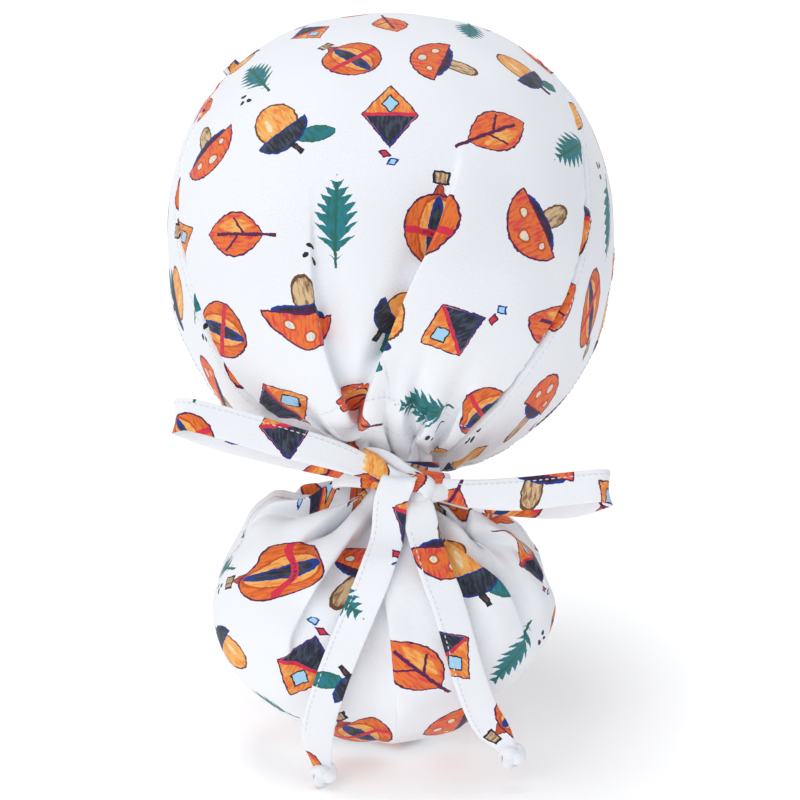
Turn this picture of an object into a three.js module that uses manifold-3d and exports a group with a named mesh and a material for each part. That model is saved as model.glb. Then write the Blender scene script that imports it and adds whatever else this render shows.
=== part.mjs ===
// A tie-back surgical scrub cap with a pouch for long hair, in millimetres, +Z up.
// The wearer looks along +Y, so the bow and the pouch are at the back, towards -Y.
// The origin is the centre of the crown's hollow, where the middle of the head sits.
import * as THREE from "three";
import { mergeVertices } from "three/addons/utils/BufferGeometryUtils.js";
import Module from "manifold-3d";

const wasm = await Module();
wasm.setup();

// Driving dimensions of the crown
const crownWidth = 229.5;
const crownDepth = 250;
const crownRise = 112.5; // above the origin
const crownDrop = 120.5; // below it, where the form would close
const crownFullness = 2.2; // exponent of the rounded form, 2 for an ellipsoid
const clothWall = 1.6;
const seamGap = 0.6;

// Driving dimensions of the gathered neck between the crown and the pouch
const neckFall = 49; // degrees below the horizon
const neckShift = 4; // the neck lies a little to the right
const neckStand = 4; // how far the neck stands off the crown's form
const neckTilt = 22; // degrees that the neck leans back from straight up
const neckRadius = 17;
const neckReach = 80; // degrees round the neck, each way, that the crown panel is gathered to
const bandEndReach = 118; // degrees round the neck at which the brim band's rim ends
const collarHeight = 15;
const collarStand = 0.36; // share of the collar that stands straight before it spreads
const gatherDepth = 1.1;
const gatherCount = 9; // small gathers across the crown panel at the neck
const pouchGatherCount = 16; // small gathers all round the pouch at the neck
const gatherFade = 30; // how far the small gathers run out of the neck
const foldDepth = 10; // the depth that the tables of folds are shares of

// Driving dimensions of the pouch
const pouchWidth = 172;
const pouchDepth = 104;
const pouchHeight = 140;
const pouchTopFullness = 2.5;
const pouchBottomFullness = 2;
const pouchShift = -8; // the pouch hangs to the left of the neck
const pouchDrop = 6; // from the neck's centre down to the top of the pouch's form

// Driving dimensions of the ties
const tieWidth = 16.5;
const tieWall = 1.5;
const tieGap = 0.6;
const seatGap = 0.3; // between the knot and what comes out of it
const wrapReach = 96; // degrees round the neck, each way, that the wrap covers
const wrapHeight = 8.5;
const knotShift = 4; // the knot sits to the right of the neck
const knotWidth = 30;
const knotHeight = 25;
const knotDepth = 17;
const leftLoopLength = 97;
const rightLoopLength = 84;
const leftTailDrop = 133;
const rightTailDrop = 125;
const tailKnotWidth = 13;
const tailKnotHeight = 12.5;
const tailKnotDepth = 11;

// The crown panel's side seams, from the neck to the top of the forehead.
// turn: degrees round from the back; rise: degrees above the horizon.
const rightSeam = [
  { turn: 13, rise: -47 },
  { turn: 19, rise: -43 },
  { turn: 24, rise: -34 },
  { turn: 32.5, rise: -22 },
  { turn: 40, rise: -11.5 },
  { turn: 48, rise: -2 },
  { turn: 54.5, rise: 10 },
  { turn: 62, rise: 23 },
  { turn: 71, rise: 33 },
  { turn: 85, rise: 40.5 },
  { turn: 101, rise: 46 },
];
const leftSeam = [
  { turn: 10, rise: -46 },
  { turn: 20, rise: -41 },
  { turn: 31, rise: -34 },
  { turn: 40, rise: -27 },
  { turn: 46.5, rise: -19.5 },
  { turn: 52, rise: -9.5 },
  { turn: 58.5, rise: 0.5 },
  { turn: 67, rise: 12 },
  { turn: 76, rise: 24 },
  { turn: 86, rise: 37.5 },
  { turn: 101, rise: 46 },
];
const seamFront = 52; // rise of the seam in the middle of the forehead

// The rim of the head opening, from the neck to the middle of the forehead.
const rimStations = [
  { turn: 11.5, rise: -52 },
  { turn: 20, rise: -58 },
  { turn: 30, rise: -61 },
  { turn: 43, rise: -57 },
  { turn: 57, rise: -46.5 },
  { turn: 70, rise: -30 },
  { turn: 84, rise: -14 },
  { turn: 97, rise: -2 },
  { turn: 112, rise: 5 },
  { turn: 128, rise: 9 },
  { turn: 146, rise: 12 },
  { turn: 163, rise: 13 },
  { turn: 180, rise: 13 },
];

// Folds of the crown panel. near, far: where the fold lies across the panel at the neck and at
// its far end, from -1 at the left seam to 1 at the right; reach: share of the crown's height;
// depth: share of the fold depth, negative for a valley; left, right: width of its two sides.
const crownFolds = [
  { near: -0.86, far: -0.9, reach: 0.36, depth: -0.75, left: 0.09, right: 0.05 },
  { near: -0.68, far: -0.72, reach: 0.42, depth: 0.3, left: 0.08, right: 0.08 },
  { near: -0.58, far: -0.46, reach: 0.84, depth: 0.3, left: 0.12, right: 0.05 },
  { near: -0.46, far: -0.4, reach: 0.6, depth: -0.5, left: 0.04, right: 0.12 },
  { near: -0.86, far: 0.85, reach: 0.88, depth: -0.9, left: 0.16, right: 0.05 },
  { near: -0.72, far: 0.94, reach: 0.86, depth: 0.34, left: 0.06, right: 0.2 },
  { near: 0.36, far: 0.4, reach: 0.4, depth: -0.85, left: 0.1, right: 0.05 },
  { near: 0.52, far: 0.56, reach: 0.5, depth: 0.28, left: 0.06, right: 0.14 },
  { near: 0.8, far: 0.7, reach: 0.44, depth: -0.55, left: 0.08, right: 0.06 },
];

// Folds of the pouch. near, far: degrees round the pouch from the back, positive to the right.
const pouchFolds = [
  { near: -118, far: -122, reach: 0.7, depth: -0.7, left: 12, right: 9 },
  { near: -84, far: -92, reach: 0.62, depth: -0.8, left: 6, right: 13 },
  { near: -68, far: -74, reach: 0.66, depth: 0.3, left: 8, right: 8 },
  { near: -52, far: -60, reach: 0.55, depth: -0.85, left: 8, right: 7 },
  { near: -30, far: -34, reach: 0.9, depth: -0.6, left: 10, right: 6 },
  { near: -6, far: -3, reach: 1.5, depth: -0.55, left: 11, right: 4 },
  { near: 8, far: 10, reach: 1.3, depth: 0.2, left: 6, right: 12 },
  { near: 30, far: 24, reach: 0.75, depth: -0.5, left: 8, right: 6 },
  { near: 50, far: 58, reach: 0.95, depth: -0.8, left: 10, right: 6 },
  { near: 74, far: 76, reach: 0.5, depth: -0.8, left: 8, right: 8 },
  { near: 112, far: 118, reach: 0.7, depth: -0.7, left: 9, right: 12 },
  { near: 150, far: 152, reach: 0.8, depth: -0.6, left: 10, right: 10 },
  { near: -155, far: -152, reach: 0.8, depth: -0.6, left: 10, right: 10 },
];

// Centre lines of the bow's loops, as shares of the loop's length and of the tie's width.
// out: sideways from the knot; up, back: above and behind the knot's middle; wide: share of the
// tie's width; lean: degrees that the face of the tie leans back at the top.
const leftLoop = [
  { out: 0, up: 0.1, back: 0, wide: 0.55, lean: 20 },
  { out: 0.2, up: 0.62, back: -0.1, wide: 0.85, lean: 16 },
  { out: 0.5, up: 1.25, back: -0.14, wide: 1, lean: 12 },
  { out: 0.8, up: 1.75, back: 0, wide: 1, lean: 8 },
  { out: 0.95, up: 1.98, back: 0.1, wide: 1, lean: 6 },
  { out: 1, up: 2.02, back: 0.38, wide: 1, lean: 4 },
  { out: 0.96, up: 1.86, back: 0.66, wide: 1, lean: 0 },
  { out: 0.78, up: 1.35, back: 0.72, wide: 1, lean: -6 },
  { out: 0.5, up: 0.72, back: 0.68, wide: 1, lean: -8 },
  { out: 0.22, up: 0.14, back: 0.55, wide: 0.85, lean: -6 },
  { out: 0.02, up: -0.1, back: 0.44, wide: 0.6, lean: 0 },
];
const rightLoop = [
  { out: 0, up: -0.1, back: 0, wide: 0.6, lean: 10 },
  { out: 0.22, up: -0.3, back: -0.06, wide: 0.85, lean: 12 },
  { out: 0.5, up: -0.24, back: -0.1, wide: 1, lean: 14 },
  { out: 0.8, up: -0.06, back: 0, wide: 1, lean: 12 },
  { out: 0.95, up: 0, back: 0.1, wide: 1, lean: 10 },
  { out: 1, up: -0.08, back: 0.38, wide: 1, lean: 4 },
  { out: 0.96, up: -0.26, back: 0.66, wide: 1, lean: -4 },
  { out: 0.78, up: -0.52, back: 0.76, wide: 1, lean: -12 },
  { out: 0.5, up: -0.6, back: 0.72, wide: 1, lean: -14 },
  { out: 0.22, up: -0.5, back: 0.58, wide: 0.85, lean: -8 },
  { out: 0.02, up: -0.32, back: 0.44, wide: 0.6, lean: 0 },
];

// Routes of the tails down the pouch. side: share of half the pouch's width, positive to the
// right; turn: degrees that the face of the tie turns to the right.
const leftTail = [
  { side: 0.02, turn: 0 },
  { side: -0.07, turn: -4 },
  { side: -0.17, turn: -7 },
  { side: -0.27, turn: -8 },
  { side: -0.36, turn: -6 },
  { side: -0.42, turn: -3 },
  { side: -0.385, turn: 0 },
];
const rightTail = [
  { side: 0.165, turn: 0 },
  { side: 0.24, turn: 10 },
  { side: 0.33, turn: 14 },
  { side: 0.395, turn: 16 },
  { side: 0.46, turn: 14 },
  { side: 0.55, turn: 8 },
  { side: 0.705, turn: 4 },
];

const { degToRad, lerp, clamp } = THREE.MathUtils;
const vector = (x, y, z) => new THREE.Vector3(x, y, z);
const smooth = (low, high, x) => THREE.MathUtils.smoothstep(x, low, high);
const between = (a, b, share) => a.clone().lerp(b, share);

// One column of a table of evenly spaced rows, at a share of the way from its first to its last.
function column(table, name, share) {
  const place = clamp(share, 0, 1) * (table.length - 1);
  const row = Math.min(Math.floor(place), table.length - 2);
  const value = (index) => table[clamp(index, 0, table.length - 1)][name];
  const [a, b, c, d] = [row - 1, row, row + 1, row + 2].map(value);
  const t = place - row;
  const bend = 2 * a - 5 * b + 4 * c - d;
  const twist = 3 * b - a - 3 * c + d;
  return (2 * b + (c - a) * t + bend * t ** 2 + twist * t ** 3) / 2;
}

// A direction from the origin, by its turn from the back and its rise above the horizon.
function direction(turn, rise) {
  const [t, r] = [degToRad(turn), degToRad(rise)];
  return vector(Math.sin(t) * Math.cos(r), -Math.cos(t) * Math.cos(r), Math.sin(r));
}

// Length that takes a direction out to a rounded form of unit size.
function roundness(way, fullness) {
  const sum = way.toArray().reduce((total, x) => total + Math.abs(x) ** fullness, 0);
  return sum ** (-1 / fullness);
}

const crownHeight = crownRise + crownDrop;
const pouchHalf = vector(pouchWidth, pouchDepth, pouchHeight).divideScalar(2);

// Half the crown's size on the side of the origin that a place or a direction lies on.
function crownHalf(place) {
  return vector(crownWidth / 2, crownDepth / 2, place.z > 0 ? crownRise : crownDrop);
}

function crownPoint(way) {
  return way.clone().multiply(crownHalf(way)).multiplyScalar(roundness(way, crownFullness));
}

// The neck: its centre, the way up its axis, and a point on a ring round it.
const neckWay = direction(0, -neckFall);
const neckCentre = crownPoint(neckWay);
neckCentre.setLength(neckCentre.length() + neckStand).setX(neckShift);
const neckUp = vector(0, Math.sin(degToRad(neckTilt)), Math.cos(degToRad(neckTilt)));
const neckBack = vector(0, -Math.cos(degToRad(neckTilt)), Math.sin(degToRad(neckTilt)));

function neckPoint(turn, radius, height) {
  const t = degToRad(turn);
  const out = neckBack.clone().multiplyScalar(Math.cos(t)).setX(Math.sin(t));
  return neckCentre.clone().addScaledVector(out, radius).addScaledVector(neckUp, height);
}

// How far a row of folds, with the small gathers, lifts a point off the smooth form.
function foldHeight(folds, across, away, span, gathers) {
  let height = 0;
  for (const fold of folds) {
    const reach = fold.reach * span;
    const off = across - lerp(fold.near, fold.far, clamp(away / reach, 0, 1));
    const width = off < 0 ? fold.left : fold.right;
    const along = 1 - smooth(0.3 * reach, reach, away);
    height += fold.depth * foldDepth * along * Math.exp(-((off / width) ** 2));
  }
  height *= smooth(neckRadius, 2.6 * neckRadius, away);
  const fade = 1 - smooth(neckRadius, neckRadius + gatherFade, away);
  return height + gatherDepth * fade * Math.cos(gathers);
}

// Each piece is a mesh of its own, of white cotton.
const cloth = () => new THREE.MeshStandardMaterial({ color: 0xf1f2f6, roughness: 0.92, metalness: 0 });

function piece(name, geometry) {
  const mesh = new THREE.Mesh(geometry, cloth());
  mesh.name = name;
  return mesh;
}

// Crown panel: across runs from -1 at the left seam to 1 at the right, along from the neck to
// the front. Its hoops cross the head, and its lines run out of the neck.
const panelColumns = 48;
const panelRows = 18;
const collarShare = 0.22; // share of the rows that leave the neck for the crown's form
const neckSpread = 6.5; // degrees that the panel's middle starts above the neck's centre

function panelWay(across, along) {
  const seam = across < 0 ? leftSeam : rightSeam;
  const side = direction(column(seam, "turn", along), column(seam, "rise", along));
  const middle = direction(0, lerp(neckSpread - neckFall, 180 - seamFront, along));
  const share = Math.abs(across) ** 1.6;
  return vector(
    across * side.x,
    lerp(middle.y, side.y, share),
    lerp(middle.z, side.z, share),
  ).normalize();
}

function panelForm(across, along) {
  const crown = crownPoint(panelWay(across, along ** 1.5));
  const rise = seamGap / 2 + (collarHeight * along) / collarShare;
  const ring = neckPoint(across * neckReach, neckRadius, rise);
  return between(ring, crown, smooth(collarStand * collarShare, collarShare, along));
}

function panelFolds(across, along) {
  const away = panelForm(across, along).distanceTo(neckCentre);
  const gathers = Math.PI * gatherCount * across;
  const edge = 1 - smooth(0.9, 1, Math.abs(across));
  return edge * foldHeight(crownFolds, across, away, crownHeight, gathers);
}

const panelSheet = { form: panelForm, folds: panelFolds };

// Brim band: round runs from -1 at the left of the neck to 1 at its right, over the forehead
// at 0, and across from the seam to the rim.
const bandRows = 3;
const bandColumns = 2 * panelRows + panelColumns;
const seamShare = (2 * panelRows) / bandColumns; // where the seam turns across the forehead
const rimShare = 0.6; // share of the rim's table that lies below that corner

function seamPoint(side, share) {
  if (share < seamShare) return panelForm(side, share / seamShare);
  return panelForm((side * (1 - share)) / (1 - seamShare), 1);
}

function rimPoint(side, share) {
  const low = (rimShare * share) / seamShare;
  const high = 1 - ((1 - rimShare) * (1 - share)) / (1 - seamShare);
  const place = share < seamShare ? low : high;
  const turn = side * column(rimStations, "turn", place);
  const crown = crownPoint(direction(turn, column(rimStations, "rise", place)));
  const collarEnd = seamShare * collarShare;
  const rise = seamGap / 2 + collarHeight * Math.min(1, share / collarEnd);
  const ring = neckPoint(side * bandEndReach, neckRadius, rise);
  return between(ring, crown, smooth(collarStand * collarEnd, collarEnd, share));
}

// A point of the crown's own space, where its form has unit size.
function unitPoint(point) {
  return point.clone().divide(crownHalf(point));
}

function bandForm(round, across) {
  const side = round < 0 ? -1 : 1;
  const share = 1 - Math.abs(round);
  const [top, low] = [seamPoint(side, share), rimPoint(side, share)];
  const step = 1e-3;
  const ahead = seamPoint(side, Math.min(share + step, 1));
  ahead.sub(seamPoint(side, Math.max(share - step, 0))).normalize();
  const gap = seamGap / ahead.cross(low.clone().sub(top)).length();
  const place = gap + across * (1 - gap);
  const [a, b] = [unitPoint(top), unitPoint(low)];
  const lift = lerp(
    a.length() / roundness(a.clone().normalize(), crownFullness),
    b.length() / roundness(b.clone().normalize(), crownFullness),
    place,
  );
  const angle = a.angleTo(b);
  const way = a
    .normalize()
    .multiplyScalar(Math.sin((1 - place) * angle))
    .addScaledVector(b.normalize(), Math.sin(place * angle))
    .normalize();
  return crownPoint(way).multiplyScalar(lift);
}

const bandSheet = { form: bandForm, folds: () => 0 };

// Pouch: round runs once round the neck from -1 to 1, and along from the neck to the bottom.
const pouchCentre = neckCentre.clone().add(vector(pouchShift, 0, -pouchDrop - pouchHeight / 2));
const pouchColumns = 56;
const pouchRows = 16;
const pouchSpread = 14; // degrees round the pouch's centre at which its form starts

function pouchForm(round, along) {
  const turn = -180 * round;
  const fall = degToRad(lerp(pouchSpread, 180, along ** 1.15));
  const [t, ring] = [degToRad(turn), Math.sin(fall)];
  const way = vector(ring * Math.sin(t), -ring * Math.cos(t), Math.cos(fall));
  const fullness = lerp(pouchBottomFullness, pouchTopFullness, smooth(-0.7, 0.7, way.z));
  const bag = way.clone().multiply(pouchHalf).multiplyScalar(roundness(way, fullness));
  const drop = -seamGap / 2 - (collarHeight * along) / collarShare;
  const collar = neckPoint(turn, neckRadius, drop);
  const spread = smooth(collarStand * collarShare, collarShare, along);
  return between(collar, bag.add(pouchCentre), spread);
}

function pouchFoldHeight(round, along) {
  const away = pouchForm(round, along).distanceTo(neckCentre);
  const gathers = Math.PI * pouchGatherCount * round;
  const calm = smooth(0, 0.25, 1 - along);
  const turn = -180 * round;
  return calm * foldHeight(pouchFolds, turn, away, pouchHeight, gathers);
}

const pouchSheet = { form: pouchForm, folds: pouchFoldHeight, loop: true, tip: true };

// A point of a sheet of cloth, lifted off its smooth form by its folds and set in by a depth.
function clothPoint({ form, folds, loop, tip }, u, v, depth) {
  const step = 1e-3;
  const low = loop ? -Infinity : -1;
  const level = tip ? Math.min(v, 1 - step) : v;
  const [u0, u1] = [Math.max(u - step, low), Math.min(u + step, -low)];
  const [v0, v1] = [Math.max(level - step, 0), Math.min(level + step, 1)];
  const across = form(u1, level).sub(form(u0, level));
  const along = form(u, v1).sub(form(u, v0));
  const lift = across.cross(along).setLength(folds(u, v) - depth);
  return form(u, v).add(tip && v === 1 ? vector(0, 0, lift.z) : lift);
}

// A cloth shell, with its wall's thickness inside it. It is open at along 0. It is closed to a
// point at along 1 if its sheet has a tip, and closed round if it has a loop.
function clothShell(sheet, wall, columns, rows) {
  const { loop, tip } = sheet;
  const skin = (depth) => {
    const points = [];
    for (let j = 0; j <= rows; j += 1) {
      for (let i = 0; i <= columns; i += 1) {
        const u = loop && i === columns ? -1 : -1 + (2 * i) / columns;
        points.push(clothPoint(sheet, u, j / rows, depth));
      }
    }
    return points;
  };
  const stride = columns + 1;
  const inner = stride * (rows + 1);
  const faces = [];
  const quad = (a, b, c, d) => faces.push(a, b, c, a, c, d);
  for (let j = 0; j < rows; j += 1) {
    for (let i = 0; i < columns; i += 1) {
      const at = j * stride + i;
      quad(at, at + 1, at + stride + 1, at + stride);
      quad(inner + at, inner + at + stride, inner + at + stride + 1, inner + at + 1);
    }
  }
  for (let i = 0; i < columns; i += 1) {
    quad(i + 1, i, inner + i, inner + i + 1);
    const last = rows * stride + i;
    if (!tip) quad(last, last + 1, inner + last + 1, inner + last);
  }
  for (let j = 0; j < rows && !loop; j += 1) {
    const left = j * stride;
    const right = left + columns;
    quad(left, left + stride, inner + left + stride, inner + left);
    quad(right + stride, right, inner + right, inner + right + stride);
  }
  return solid([...skin(0), ...skin(wall)], faces);
}

// A closed geometry from points and triangles, without the triangles that have no area.
function solid(points, faces) {
  const geometry = new THREE.BufferGeometry();
  geometry.setAttribute(
    "position",
    new THREE.Float32BufferAttribute(points.flatMap((p) => p.toArray()), 3),
  );
  geometry.setIndex(faces);
  const merged = mergeVertices(geometry, 1e-3);
  const kept = [];
  const index = merged.index.array;
  for (let i = 0; i < index.length; i += 3) {
    const [a, b, c] = [index[i], index[i + 1], index[i + 2]];
    if (a !== b && b !== c && c !== a) kept.push(a, b, c);
  }
  merged.setIndex(kept);
  merged.computeVertexNormals();
  return merged;
}

// A flat tie along stations, each with a place, the way of its width, its face and its width.
function tie(stations) {
  const points = [];
  const section = [
    [-0.5, 0],
    [-0.44, 0.5],
    [0.44, 0.5],
    [0.5, 0],
    [0.44, -0.5],
    [-0.44, -0.5],
  ];
  for (const { place, side, face, width } of stations) {
    for (const [s, f] of section) {
      points.push(place.clone().addScaledVector(side, s * width).addScaledVector(face, f * tieWall));
    }
  }
  const count = section.length;
  const faces = [];
  for (let j = 0; j + 1 < stations.length; j += 1) {
    for (let i = 0; i < count; i += 1) {
      const [a, b] = [j * count + i, j * count + ((i + 1) % count)];
      faces.push(a, b + count, b, a, a + count, b + count);
    }
  }
  const last = (stations.length - 1) * count;
  for (let i = 1; i + 1 < count; i += 1) {
    faces.push(0, i, i + 1, last, last + i + 1, last + i);
  }
  return solid(points, faces);
}

// Two closed geometries that meet, joined into one.
function joined(first, second) {
  const [a, b] = [first, second].map(
    (geometry) =>
      new wasm.Manifold(
        new wasm.Mesh({
          numProp: 3,
          vertProperties: geometry.getAttribute("position").array,
          triVerts: new Uint32Array(geometry.index.array),
        }),
      ),
  );
  const mesh = a.add(b).getMesh();
  const geometry = new THREE.BufferGeometry();
  geometry.setAttribute("position", new THREE.BufferAttribute(mesh.vertProperties, 3));
  geometry.setIndex(new THREE.BufferAttribute(mesh.triVerts, 1));
  geometry.computeVertexNormals();
  return geometry;
}

// Stations of a tie from places along it and the way of its width at each.
function tieStations(places, widthWay, width) {
  return places.map((place, i) => {
    const next = places[Math.min(i + 1, places.length - 1)];
    const run = next.clone().sub(places[Math.max(i - 1, 0)]).normalize();
    const side = widthWay(i);
    side.addScaledVector(run, -side.dot(run)).normalize();
    return { place, side, face: run.clone().cross(side), width: width(i) };
  });
}

// The wrap: the ties' run from the ends of the brim band round the back of the neck.
const wrapRadius = neckRadius + gatherDepth + tieGap + tieWall / 2;

function wrapTie() {
  const steps = 24;
  const places = Array.from({ length: steps + 1 }, (_, i) =>
    neckPoint(lerp(-wrapReach, wrapReach, i / steps), wrapRadius, 0),
  );
  return tie(tieStations(places, () => neckUp.clone(), () => wrapHeight));
}

// The bow's knot sits on the back of the wrap.
const knotCentre = neckPoint(0, wrapRadius + tieWall / 2 + tieGap + knotDepth / 2, 1);
knotCentre.x += knotShift;

// A round lump with shallow grooves where the cloth crosses itself, its top along a way up.
function lump(centre, size, up, grooves, grooveDepth, columns, rows) {
  const geometry = new THREE.SphereGeometry(0.5, columns, rows);
  geometry.deleteAttribute("normal");
  geometry.deleteAttribute("uv");
  const merged = mergeVertices(geometry, 1e-5);
  const position = merged.getAttribute("position");
  for (let i = 0; i < position.count; i += 1) {
    const way = vector().fromBufferAttribute(position, i).normalize();
    const turn = Math.atan2(way.z, way.x);
    const groove = 1 - grooveDepth * Math.sin(grooves * turn + 1.5 * way.y) ** 4;
    const place = way.clone().multiply(size).multiplyScalar((roundness(way, 2.6) * groove) / 2);
    position.setXYZ(i, ...place.toArray());
  }
  const right = vector(1, 0, 0);
  merged.applyMatrix4(new THREE.Matrix4().makeBasis(right, up.clone().cross(right), up));
  merged.translate(...centre.toArray());
  merged.computeVertexNormals();
  return merged;
}

function bowKnot() {
  const size = vector(knotWidth, knotDepth, knotHeight);
  return lump(knotCentre, size, neckUp, 2, 0.08, 20, 12);
}

// A loop of the bow, out from the knot's side and back to it.
function bowLoop(table, side, length) {
  const steps = 40;
  const start = knotCentre.clone().add(vector(side * (knotWidth / 2 + seatGap), 0, 0));
  const at = (name, i) => column(table, name, i / steps);
  const places = Array.from({ length: steps + 1 }, (_, i) =>
    start.clone().add(
      vector(
        side * at("out", i) * length,
        at("back", i) * tieWidth,
        at("up", i) * tieWidth,
      ),
    ),
  );
  const widthWay = (i) => {
    const lean = degToRad(at("lean", i));
    return vector(0, Math.sin(lean), Math.cos(lean));
  };
  return tie(tieStations(places, widthWay, (i) => at("wide", i) * tieWidth));
}

// How far back the pouch's cloth comes behind a tie at a place on its back.
const pouch = piece("hair_pouch", clothShell(pouchSheet, clothWall, pouchColumns, pouchRows));

function pouchBack(x, z) {
  const look = new THREE.Raycaster();
  const backs = [-0.5, 0, 0.5].map((share) => {
    look.set(vector(x + share * tieWidth, -2 * crownDepth, z), vector(0, 1, 0));
    const [hit] = look.intersectObject(pouch);
    return hit ? hit.point.y : Infinity;
  });
  return Math.min(...backs);
}

// A tail of the bow, down over the back of the pouch and then straight down to its end knot.
function bowTail(table, drop) {
  const steps = 26;
  const start = knotCentre.clone().addScaledVector(neckUp, -knotHeight / 2 - seatGap);
  const turnAt = (i) => degToRad(column(table, "turn", i / steps));
  const places = [];
  let back = start.y;
  for (let i = 0; i <= steps; i += 1) {
    const side = (column(table, "side", i / steps) * pouchWidth) / 2;
    const height = start.z - (drop * i) / steps;
    const edge = (tieWidth / 2) * Math.abs(Math.sin(turnAt(i)));
    back = Math.min(back, pouchBack(side, height) - tieGap - tieWall / 2 - edge);
    places.push(vector(side, back, height));
  }
  const eased = places.map((place, i) => {
    const span = places.slice(Math.max(i - 2, 0), i + 3);
    const mean = span.reduce((sum, other) => sum + other.y, 0) / span.length;
    return place.clone().setY(Math.min(place.y, mean));
  });
  const widthWay = (i) => vector(Math.cos(turnAt(i)), Math.sin(turnAt(i)), 0);
  const wide = (i) => tieWidth * lerp(0.7, 1, smooth(0, 5, i)) * lerp(1, 0.55, smooth(21, 26, i));
  const strip = tie(tieStations(eased, widthWay, wide));
  const size = vector(tailKnotWidth, tailKnotDepth, tailKnotHeight);
  const end = lump(eased[steps], size, vector(0, 0, 1), 1, 0.12, 14, 10);
  return joined(strip, end);
}

const cap = new THREE.Group();

cap.add(
  piece("crown_panel", clothShell(panelSheet, clothWall, panelColumns, panelRows)),
  piece("brim_band", clothShell(bandSheet, clothWall, bandColumns, bandRows)),
  pouch,
  piece("tie_wrap", wrapTie()),
  piece("bow_knot", bowKnot()),
  piece("bow_loop_left", bowLoop(leftLoop, -1, leftLoopLength)),
  piece("bow_loop_right", bowLoop(rightLoop, 1, rightLoopLength)),
  piece("tie_tail_left", bowTail(leftTail, leftTailDrop)),
  piece("tie_tail_right", bowTail(rightTail, rightTailDrop)),
);

export default cap;
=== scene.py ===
"""The looks of a tie-back surgical scrub cap with a pouch for long hair, in metres, +Z up.

The wearer looks along +Y, so the bow and the pouch are at the back, towards -Y. The origin is
the centre of the crown's hollow.
"""

from collections import namedtuple

import bmesh
import bpy
import numpy as np
from mathutils import Matrix, Vector


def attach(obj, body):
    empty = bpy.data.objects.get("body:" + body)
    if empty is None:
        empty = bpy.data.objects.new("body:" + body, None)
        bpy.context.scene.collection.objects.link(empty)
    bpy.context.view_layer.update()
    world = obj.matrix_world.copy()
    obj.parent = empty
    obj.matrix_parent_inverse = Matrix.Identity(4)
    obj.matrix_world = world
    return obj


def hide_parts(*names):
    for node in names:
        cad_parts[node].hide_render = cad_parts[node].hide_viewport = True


bl_info = {
    "name": "Scrub cap",
    "version": (1, 0, 0),
    "blender": (4, 5, 0),
    "location": "3D View > Sidebar > Scrub Cap",
    "description": "A printed cotton surgical scrub cap with a hair pouch and a tied bow",
    "category": "Object",
}

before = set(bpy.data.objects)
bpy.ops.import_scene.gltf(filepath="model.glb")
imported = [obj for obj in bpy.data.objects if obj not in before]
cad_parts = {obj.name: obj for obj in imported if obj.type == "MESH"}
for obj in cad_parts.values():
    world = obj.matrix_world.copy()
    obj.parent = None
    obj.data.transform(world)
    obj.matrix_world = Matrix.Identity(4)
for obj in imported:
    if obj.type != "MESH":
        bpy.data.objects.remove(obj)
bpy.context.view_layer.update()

MM = 0.001

# The crown's rounded form, and its panel's length from the neck to the forehead
CROWN_WIDTH = 229.5 * MM
CROWN_DEPTH = 250 * MM
CROWN_RISE = 112.5 * MM
CROWN_DROP = 120.5 * MM
CROWN_FULLNESS = 2.2
PANEL_LENGTH = 380 * MM
SEAM_GAP = 0.6 * MM

# The gathered neck between the crown and the pouch; angles are in degrees
NECK_FALL = 49
NECK_SHIFT = 4 * MM
NECK_STAND = 4 * MM
NECK_TILT = 22
NECK_RADIUS = 17 * MM
NECK_REACH = 80
BAND_END_REACH = 118
COLLAR_HEIGHT = 15 * MM
COLLAR_STAND = 0.36
COLLAR_SHARE = 0.22
NECK_SPREAD = 6.5
FOLD_DEPTH = 10 * MM

# The pouch
POUCH_WIDTH = 172 * MM
POUCH_DEPTH = 104 * MM
POUCH_HEIGHT = 140 * MM
POUCH_TOP_FULLNESS = 2.5
POUCH_BOTTOM_FULLNESS = 2
POUCH_SHIFT = -8 * MM
POUCH_DROP = 6 * MM
POUCH_SPREAD = 14

# The ties and the bow, the steps along a loop and a tail, and the places where a tail is laid
# over the pouch
TIE_WIDTH = 16.5 * MM
WRAP_RADIUS = 19.45 * MM
WRAP_REACH = 96
KNOT_OUT = 28.8 * MM
KNOT_SHIFT = 4 * MM
KNOT_FALL = 6 * MM
KNOT_WIDTH = 30 * MM
KNOT_HEIGHT = 25 * MM
KNOT_GAP = 0.3 * MM
LEFT_LOOP_LENGTH = 97 * MM
RIGHT_LOOP_LENGTH = 84 * MM
LEFT_TAIL_DROP = 134 * MM
RIGHT_TAIL_DROP = 123 * MM
TAIL_GAP = 1.6 * MM
WRAP_WIDTH = 10 * MM
WRAP_STAND = 0.4 * MM
WRAP_OVERLAP = 20
LOOP_STEPS = 170
TAIL_STEPS = 180
TAIL_PLACES = 14

# How far the rows of stitches lie from the edges of the ties, the seams and the casing, and the
# half sizes of a stitch: its length as a share of the pitch, its width and its height
TIE_INSET = 2.2 * MM
SEAM_INSET = 4.2 * MM
CASING_INSET = 1.5 * MM
STITCH_REACH = 0.36
STITCH_WIDTH = 0.3 * MM
STITCH_HEIGHT = 0.24 * MM

# How the printed cloth is laid on the pieces: the size of the flat chart round the middle of the
# crown's and the pouch's backs, and where on the print the pieces were cut
CROWN_CHART = 117 * MM
CROWN_CHART_RISE = 32
POUCH_CHART = 66 * MM
POUCH_CUT = np.array([790, 806]) * MM
POUCH_FRONT_CUT = 400 * MM
BAND_CUT = 310 * MM

# The stage: a floor just under the lower end knot, which glows a little as bright paper does,
# the light from all round, and a long lens that looks down a little
FLOOR_HEIGHT = -244.5 * MM
FLOOR_HALF = 6
FLOOR_GLOW = 0.215
WORLD_POWER = 0.55
CAMERA_TILT = 20
CAMERA_LENS = 135
CAMERA_DISTANCE = 1.55
CAMERA_RIGHT = 4.9 * MM
CAMERA_DOWN = 84.75 * MM

# A small step for the slopes of forms
STEP = 1e-3

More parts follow.
